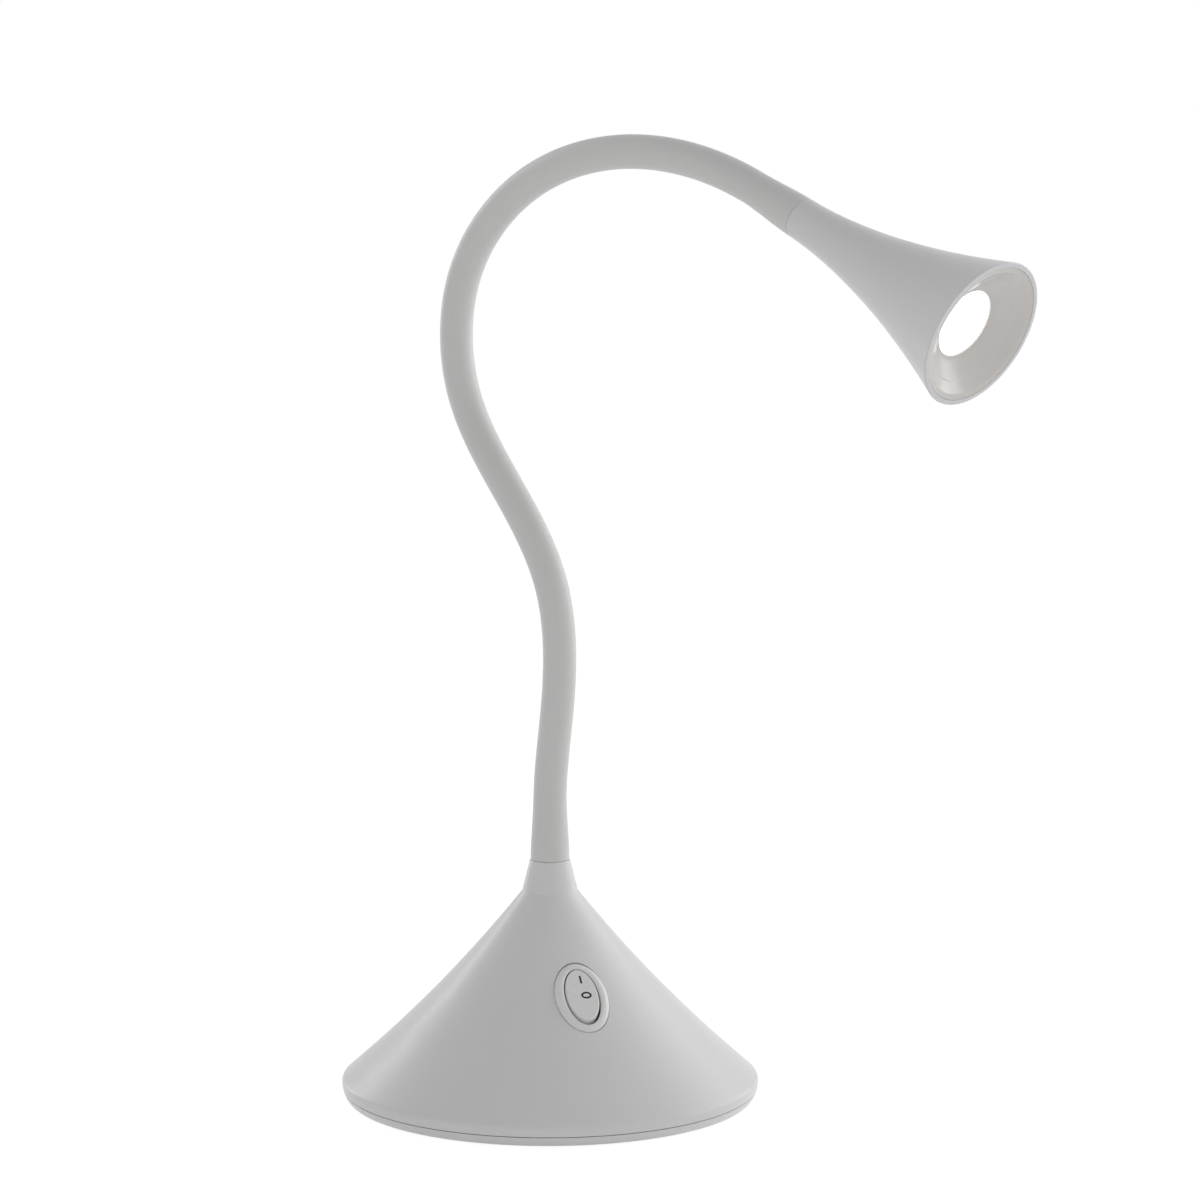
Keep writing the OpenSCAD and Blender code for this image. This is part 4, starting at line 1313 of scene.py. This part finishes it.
def build_rocker():
    """The rocker with its pin and stem, tipped as it lies."""
    size = settings().switch
    half, face = size.swing / 2, rocker_face(0)
    drift = face * math.sin(half) - size.window_a * (1 - math.cos(half))
    long, wide = size.window_a - size.rocker_gap - drift, size.window_b - size.rocker_gap
    around, spokes, arc, edge = 128, 24, 8, size.rocker_round
    a, b = long - size.rocker_draft - edge, wide - size.rocker_draft - edge
    rings = [
        on_face(flat_oval(a * part, b * part, around))
        for part in [0.0005] + [i / spokes for i in range(1, spokes + 1)]
    ]
    for turn in spread(0, math.pi / 2, arc + 1)[1:]:
        out, drop = edge * math.sin(turn), edge * (1 - math.cos(turn))
        rings.append(on_face(flat_oval(a + out, b + out, around), -drop))
    shoulder, foot, bevel = 0.8 * MM, -3.5 * MM, 0.1 * MM
    wall, roof_wall, roof = 1.2 * MM, 1.5 * MM, face - 1.8 * MM
    rings += [
        oval(long, wide, shoulder, around),
        oval(long, wide, foot + bevel, around),
        oval(long - bevel, wide - bevel, foot, around),
        oval(long - wall, wide - wall, foot, around),
        oval(long - roof_wall, wide - roof_wall, roof, around),
    ]
    shell = ring_skin(rings, "rocker_shell")
    stem_in, stem_out, stem_foot, stem_top = 1.6 * MM, 2.5 * MM, -6.5 * MM, 2.2 * MM
    stem_outline = rounded(
        [
            (stem_in, stem_foot, 0),
            (stem_out, stem_foot, 0.2 * MM),
            (stem_out, stem_top, 0),
            (stem_in, stem_top, 0),
        ]
    )
    stem = turned(stem_outline, "stem", 48, switch_finish())
    rocker = joined([shell, stem, pin_rod()], "rocker")
    crisp(rocker.data)
    place(rocker, on_rocker())
    settle(finish_with(rocker, switch_finish()), "rocker", "switch_white", "switch_rocker")


def build_marks():
    """The printed I and O of the rocker."""
    size = settings().switch
    line, corner, around = size.mark_line, 0.12 * MM, 64
    bar_x, bar_y, ring_x, ring_y = -5.2 * MM, 0.58 * MM, 0.15 * MM, 1.2 * MM
    bar_loop = [(x + bar_x, y + bar_y) for x, y in rounded_box(size.mark_bar, line, corner)]
    ring_loops = []
    for inset in (0, line):
        loop = flat_oval(size.mark_ring_a - inset, size.mark_ring_b - inset, around)
        ring_loops.append([(x + ring_x, y + ring_y) for x, y in loop])
    prints = [print_skin([bar_loop], "bar"), print_skin(ring_loops, "ring")]
    marks = place(joined(prints, "rocker_marks"), on_rocker())
    settle(finish_with(marks, print_finish()), "rocker", None)


def rounded_box(width, height, rounding):
    """A rectangle about the origin with rounded corners."""
    x, y = width / 2, height / 2
    corners = [(-x, -y), (x, -y), (x, y), (-x, y)]
    return rounded([(*corner, rounding) for corner in corners], steps=4)


def print_skin(loops, name):
    """A thin print that follows the rocker's face, filled inside one loop or between two."""
    proud, sunk = 0.012 * MM, -0.2 * MM
    outer = loops[0]
    rings = [on_face(outer, sunk), on_face(outer, proud)]
    if len(loops) == 1:
        return ring_skin(rings, name)
    inner = loops[1]
    rings += [on_face(inner, proud), on_face(inner, sunk), on_face(outer, sunk)]
    return ring_skin(rings, name, close_ends=False)


def build_sleeve():
    """The neck's sleeve: one skin from the spout to the head, in a length for each joint."""
    size = settings().neck
    half = link_length() / 2
    # rings stand close together at a length's ends, for the rounded edges, and evenly between
    close = [d * MM for d in (0, 0.04, 0.1, 0.17, 0.24, 0.32, 0.5)]
    clear, inset = 0.6 * MM, 2 * MM
    even = spread(0, half, size.steps + 1)
    low = [half + d for d in close] + [half + d for d in even if d > clear]
    high = [d for d in even if 0 < d < half - clear] + [half - d for d in reversed(close)]
    for k in range(1, JOINTS + 1):
        points = [neck_point(k - 1, d) for d in low] + [neck_point(k, d) for d in high]
        mesh = bpy.data.meshes.new("sleeve_path")
        mesh.from_pydata(points, [(i, i + 1) for i in range(len(points) - 1)], [])
        blank = put(mesh, "sleeve_blank")
        foot, head = k == 1, k == JOINTS
        dress(
            blank,
            sleeve_tree(),
            {
                "Radius": size.sleeve_r,
                "Foot Radius": size.foot_r if foot else size.sleeve_r,
                "Head Radius": size.head_r if head else size.sleeve_r,
                "Flare Length": size.flare,
                "Foot Edge": size.edge if foot else 0.0,
                "Head Edge": size.edge if head else 0.0,
                "Segments": size.segments,
                "Material": sleeve_finish(),
            },
        )
        wall = blank.modifiers.new("Wall", "SOLIDIFY")
        wall.thickness = size.wall
        wall.offset = -1
        sleeve = finish_with(plain(blank, f"sleeve_{k}"), sleeve_finish())
        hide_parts(f"neck_sleeve_{k}")
        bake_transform(sleeve)


def trumpet(t):
    """Radius of the shade's outside at a distance from the sleeve."""
    size = settings().head
    return size.throat_r + (size.mouth_r - size.throat_r) * (t / size.length) ** size.flare_power


def build_shade():
    """The trumpet-shaped shade."""
    size, finish = settings().head, shell_finish()
    rim_in, rebate = size.mouth_r - size.rim + SNUG, size.length - size.rebate
    flare_end, under_ledge = size.length - 0.9 * MM, size.ledge_z - 0.01 * MM
    number = 73
    outer = [(trumpet(t), t, 0) for t in spread(0, flare_end, number)[1:]]
    inner = [(trumpet(t) - size.wall, t, 0) for t in spread(rebate, size.ledge_z, number)]
    inner += [
        (min(trumpet(t) - size.wall, size.ledge_r), t, 0)
        for t in spread(under_ledge, size.throat_t, number)
    ]
    outline = rounded(
        [
            (size.throat_hole_r, 0, 0),
            (size.throat_r, 0, 0.3 * MM),
            *outer,
            (size.mouth_r, size.length, 0.7 * MM),
            (rim_in, size.length, 0.08 * MM),
            (rim_in, rebate, 0),
            *inner,
            (size.throat_hole_r, size.throat_t, 0),
        ],
        steps=6,
    )
    shade = place(turned(outline, "shade", size.segments, finish), on_head())
    settle(finish_with(shade, finish), "head", "shell_white", "head_shade")


def dish(r):
    """Height of the dish: level at the window, steeper towards its flange, with a fine step."""
    size, step_width, steepness = settings().head, 0.35 * MM, 1.4
    low = size.length - size.window_depth
    rise = size.window_depth - size.flange_sink
    part = max((r - size.window_r) / (size.dish_r - size.window_r), 0)
    turn = min(max((r - size.step_r) / step_width + 0.5, 0), 1)
    step = size.step_t * (turn * turn * (3 - 2 * turn) - part)
    return low + rise * part**steepness + step


def build_reflector():
    """The glossy dish round the light window, with its flat flange."""
    size, finish = settings().head, reflector_finish()
    rim_in, lip = size.mouth_r - size.rim, size.length - size.rebate
    behind = size.length - size.seat_depth
    board = behind - 5 * MM
    wall, last, step = 1.2 * MM, size.dish_r, size.step_r
    collar_in, collar_out = size.window_r + 0.95 * MM, size.window_r + 1.35 * MM
    radii = spread(size.window_r + 0.5 * MM, step - 0.3 * MM, 36)
    radii += spread(step - 0.25 * MM, step + 0.25 * MM, 10)
    radii += spread(step + 0.3 * MM, last - 0.4 * MM, 14)
    outline = rounded(
        [
            (size.window_r, behind, 0),
            (size.window_r, size.length - size.window_depth, 0.3 * MM),
            *[(r, dish(r), 0) for r in radii],
            (last, size.length - size.flange_sink, 0.25 * MM),
            (rim_in, size.length - 0.1 * MM, 0.06 * MM),
            (rim_in, lip, 0),
            (trumpet(lip) - size.wall - 0.3 * MM, lip, 0),
            *[(r, dish(r) - wall, 0) for r in spread(last, size.window_r + 2.2 * MM, 24)],
            (collar_out, dish(collar_out) - wall, 0),
            (collar_out, board, 0),
            (collar_in, board, 0),
            (collar_in, behind, 0),
        ]
    )
    reflector = place(turned(outline, "reflector_dish", size.segments, finish), on_head())
    settle(finish_with(reflector, finish), "head", "reflector_white", "head_reflector")


def build_window():
    """The frosted window in front of the light."""
    size, finish = settings().head, window_finish()
    seat = size.length - size.seat_depth
    low, flange_top = seat - size.diffuser_t, seat - SNUG
    top, crown = size.length - size.window_depth - LOOSE, 0.3 * MM
    outer, inner = size.window_r + 0.85 * MM, size.window_r - 0.06 * MM
    outline = rounded(
        [
            (0, low, 0),
            (outer, low, 0.1 * MM),
            (outer, flange_top, 0.05 * MM),
            (inner, flange_top, 0),
            (inner, top - crown, 0.15 * MM),
            (inner - 0.5 * MM, top - 0.9 * crown, 0),
        ]
    )[:-1]
    outline += [
        Vector((r, top - crown * (r / size.window_r) ** 2))
        for r in spread(size.window_r, 0, 13)[1:]
    ]
    window = turned(outline, "light_window", size.segments, finish, closed=False)
    place(window, on_head())
    settle(finish_with(window, finish), "head", "diffuser_frosted", "diffuser")


def finish_works():
    """The inner works keep their solids and get their finishes."""
    outside = {
        "shell_white": shell_finish,
        "switch_white": switch_finish,
        "sleeve_silicone": sleeve_finish,
    }
    for node in frame["nodes"].values():
        if node.hide_render:
            continue
        for holder in node.material_slots:
            slot = holder.material.name.split(".")[0]
            holder.material = outside[slot]() if slot in outside else plain_finish(slot)


# ---- Studio --------------------------------------------------------------------------------


def view_axes():
    """Level unit vectors to the right of the view and away from the camera."""
    turn = settings().studio.azimuth
    ahead = -Vector((math.cos(turn), math.sin(turn), 0))
    return ahead.cross(Vector((0, 0, 1))), ahead


def build_camera():
    """A long lens that looks a little down at the lamp."""
    looks = settings().studio
    right, ahead = view_axes()
    camera = bpy.data.cameras.new("Camera")
    camera.lens = looks.lens
    camera.sensor_width = 36
    camera.clip_start, camera.clip_end = 0.05, 50
    eye = put(camera, "Camera")
    eye.location = right * looks.sideways - ahead * looks.distance
    eye.location.z = looks.height
    aim = ahead * math.cos(looks.pitch) - Vector((0, 0, math.sin(looks.pitch)))
    eye.rotation_euler = aim.to_track_quat("-Z", "Y").to_euler()
    bpy.context.scene.camera = eye


def seen_rays(nodes):
    """1 for the rays that show what surrounds the lamp, and 0 for those that light it."""
    path = nodes.add("ShaderNodeLightPath").outputs
    straight = nodes.math("MAXIMUM", path["Is Camera Ray"], path["Is Glossy Ray"])
    return nodes.math("MAXIMUM", straight, path["Is Transmission Ray"])


def show(nodes, factor, real, seen, output):
    """Mixes the real shader, by the factor, with the one that is seen in its place."""
    mix = nodes.add("ShaderNodeMixShader", {0: factor, 1: real.outputs[0], 2: seen.outputs[0]})
    nodes.join(mix.outputs[0], nodes.tree.nodes[output].inputs["Surface"])


def build_floor():
    """The camera sees the floor white, with a faint share of the lamp's shadow on it."""
    looks, far = settings().studio, 6.0
    mesh = bpy.data.meshes.new("studio_floor")
    corners = [(-far, -far, 0), (far, -far, 0), (far, far, 0), (-far, far, 0)]
    mesh.from_pydata(corners, [], [(0, 1, 2, 3)])
    top = Finish("Studio floor").constants(
        Base_Color=looks.floor,
        Roughness=0.9,
        Specular_IOR_Level=0.0,
        Emission_Color=looks.floor,
        Emission_Strength=looks.table,
    )
    unshaded = 1 - looks.shadow
    glow = top.add(
        "ShaderNodeEmission", {"Color": looks.backdrop, "Strength": looks.floor_glow / unshaded}
    )
    factor = top.math("MULTIPLY", seen_rays(top), unshaded)
    show(top, factor, top.shader, glow, "Material Output")
    finish_with(put(mesh, "studio_floor"), top.material)


def build_sky():
    """The surroundings light the lamp, more from the horizon, and the camera sees them white."""
    looks, low, high = settings().studio, 0.0, 0.9
    world = bpy.data.worlds.new("Studio")
    bpy.context.scene.world = world
    world.use_nodes = True
    sky = Nodes(world.node_tree)
    where = sky.add("ShaderNodeTexCoord").outputs["Generated"]
    parts = sky.add("ShaderNodeSeparateXYZ", {0: where})
    rise = sky.add(
        "ShaderNodeMapRange",
        {
            "Value": parts.outputs["Z"],
            "From Min": low,
            "From Max": high,
            "To Min": looks.sky_low,
            "To Max": looks.sky_high,
        },
        interpolation_type="SMOOTHSTEP",
    )
    dim = sky.tree.nodes["Background"]
    sky.join(looks.sky, dim.inputs["Color"])
    sky.join(rise.outputs[0], dim.inputs["Strength"])
    white = sky.add("ShaderNodeBackground", {"Color": looks.backdrop, "Strength": 1.0})
    show(sky, seen_rays(sky), dim, white, "World Output")


def soft_box(name, across, behind, above, wide, high, watts):
    """A plain rectangular light aimed at the lamp's middle, offset along the view's axes."""
    right, ahead = view_axes()
    middle = Vector((0.04, 0, 0.13))
    light = bpy.data.lights.new(name, "AREA")
    light.shape = "RECTANGLE"
    light.size, light.size_y = wide, high
    light.energy = watts
    lamp = put(light, name)
    lamp.location = middle + right * across + ahead * behind + Vector((0, 0, above))
    lamp.rotation_euler = (middle - lamp.location).to_track_quat("-Z", "Y").to_euler()


def build_lights():
    """A narrow light behind the lamp, to the left, and a broad one on the right."""
    looks = settings().studio
    soft_box(
        "left_rear",
        across=-0.77,
        behind=0.85,
        above=0.3,
        wide=0.15,
        high=0.8,
        watts=looks.left_watts,
    )
    soft_box(
        "right_side",
        across=1.0,
        behind=0.5,
        above=0.4,
        wide=1.1,
        high=1.0,
        watts=looks.right_watts,
    )


# ---- Operators and panel -------------------------------------------------------------------


class LAMP_OT_cover(bpy.types.Operator):
    """Build the cone-shaped cover with its spout"""

    bl_idname = "lamp.cover"
    bl_label = "Base cover"

    def execute(self, context):
        build_cover()
        return {"FINISHED"}


class LAMP_OT_plate(bpy.types.Operator):
    """Build the base plate, foot ring and screws"""

    bl_idname = "lamp.plate"
    bl_label = "Base plate"

    def execute(self, context):
        build_plate()
        build_foot()
        build_screws()
        return {"FINISHED"}


class LAMP_OT_inlet(bpy.types.Operator):
    """Build the rubber grommet of the cord inlet"""

    bl_idname = "lamp.inlet"
    bl_label = "Cord inlet"

    def execute(self, context):
        build_inlet()
        return {"FINISHED"}


class LAMP_OT_switch(bpy.types.Operator):
    """Build the housing, the rocker and its marks"""

    bl_idname = "lamp.switch"
    bl_label = "Rocker switch"

    def execute(self, context):
        build_housing()
        build_rocker()
        build_marks()
        return {"FINISHED"}


class LAMP_OT_sleeve(bpy.types.Operator):
    """Build the sleeve along the neck"""

    bl_idname = "lamp.sleeve"
    bl_label = "Neck sleeve"

    def execute(self, context):
        build_sleeve()
        return {"FINISHED"}


class LAMP_OT_shade(bpy.types.Operator):
    """Build the trumpet-shaped shade"""

    bl_idname = "lamp.shade"
    bl_label = "Shade"

    def execute(self, context):
        build_shade()
        return {"FINISHED"}


class LAMP_OT_reflector(bpy.types.Operator):
    """Build the glossy dish"""

    bl_idname = "lamp.reflector"
    bl_label = "Reflector"

    def execute(self, context):
        build_reflector()
        return {"FINISHED"}


class LAMP_OT_window(bpy.types.Operator):
    """Build the lit frosted window"""

    bl_idname = "lamp.window"
    bl_label = "Light window"

    def execute(self, context):
        build_window()
        return {"FINISHED"}


class LAMP_OT_works(bpy.types.Operator):
    """Give the inner works their finishes"""

    bl_idname = "lamp.works"
    bl_label = "Inner works"

    def execute(self, context):
        finish_works()
        return {"FINISHED"}


class LAMP_OT_stage(bpy.types.Operator):
    """Build the camera, floor, sky and lights"""

    bl_idname = "lamp.stage"
    bl_label = "Studio"

    def execute(self, context):
        build_camera()
        build_floor()
        build_sky()
        build_lights()
        return {"FINISHED"}


OPERATORS = (
    LAMP_OT_cover,
    LAMP_OT_plate,
    LAMP_OT_inlet,
    LAMP_OT_switch,
    LAMP_OT_sleeve,
    LAMP_OT_shade,
    LAMP_OT_reflector,
    LAMP_OT_window,
    LAMP_OT_works,
    LAMP_OT_stage,
)


class LAMP_PT_panel(bpy.types.Panel):
    """Lists the lamp's pieces and their sizes"""

    bl_label = "Desk Lamp"
    bl_idname = "LAMP_PT_panel"
    bl_space_type = "VIEW_3D"
    bl_region_type = "UI"
    bl_category = "Desk Lamp"

    def draw(self, context):
        for operator in OPERATORS:
            self.layout.operator(operator.bl_idname)
        for group in ("base", "switch", "neck", "head", "finishes", "studio"):
            box = self.layout.box()
            box.label(text=group.title())
            owner = getattr(context.scene.desk_lamp, group)
            for name in owner.bl_rna.properties.keys():
                if name not in {"rna_type", "name"}:
                    box.prop(owner, name)


CLASSES = (
    LampBaseSizes,
    LampSwitchSizes,
    LampNeckSizes,
    LampHeadSizes,
    LampFinishes,
    LampStudio,
    LampSettings,
    *OPERATORS,
    LAMP_PT_panel,
)


def register():
    for made in CLASSES:
        bpy.utils.register_class(made)
    bpy.types.Scene.desk_lamp = PointerProperty(type=LampSettings)


def unregister():
    del bpy.types.Scene.desk_lamp
    for made in reversed(CLASSES):
        bpy.utils.unregister_class(made)


def main():
    register()
    bpy.ops.lamp.cover()
    bpy.ops.lamp.plate()
    bpy.ops.lamp.inlet()
    bpy.ops.lamp.switch()
    bpy.ops.lamp.sleeve()
    bpy.ops.lamp.shade()
    bpy.ops.lamp.reflector()
    bpy.ops.lamp.window()
    bpy.ops.lamp.works()
    bpy.ops.lamp.stage()
    bpy.context.scene.view_settings.view_transform = "Standard"


if __name__ == "__main__":
    main()
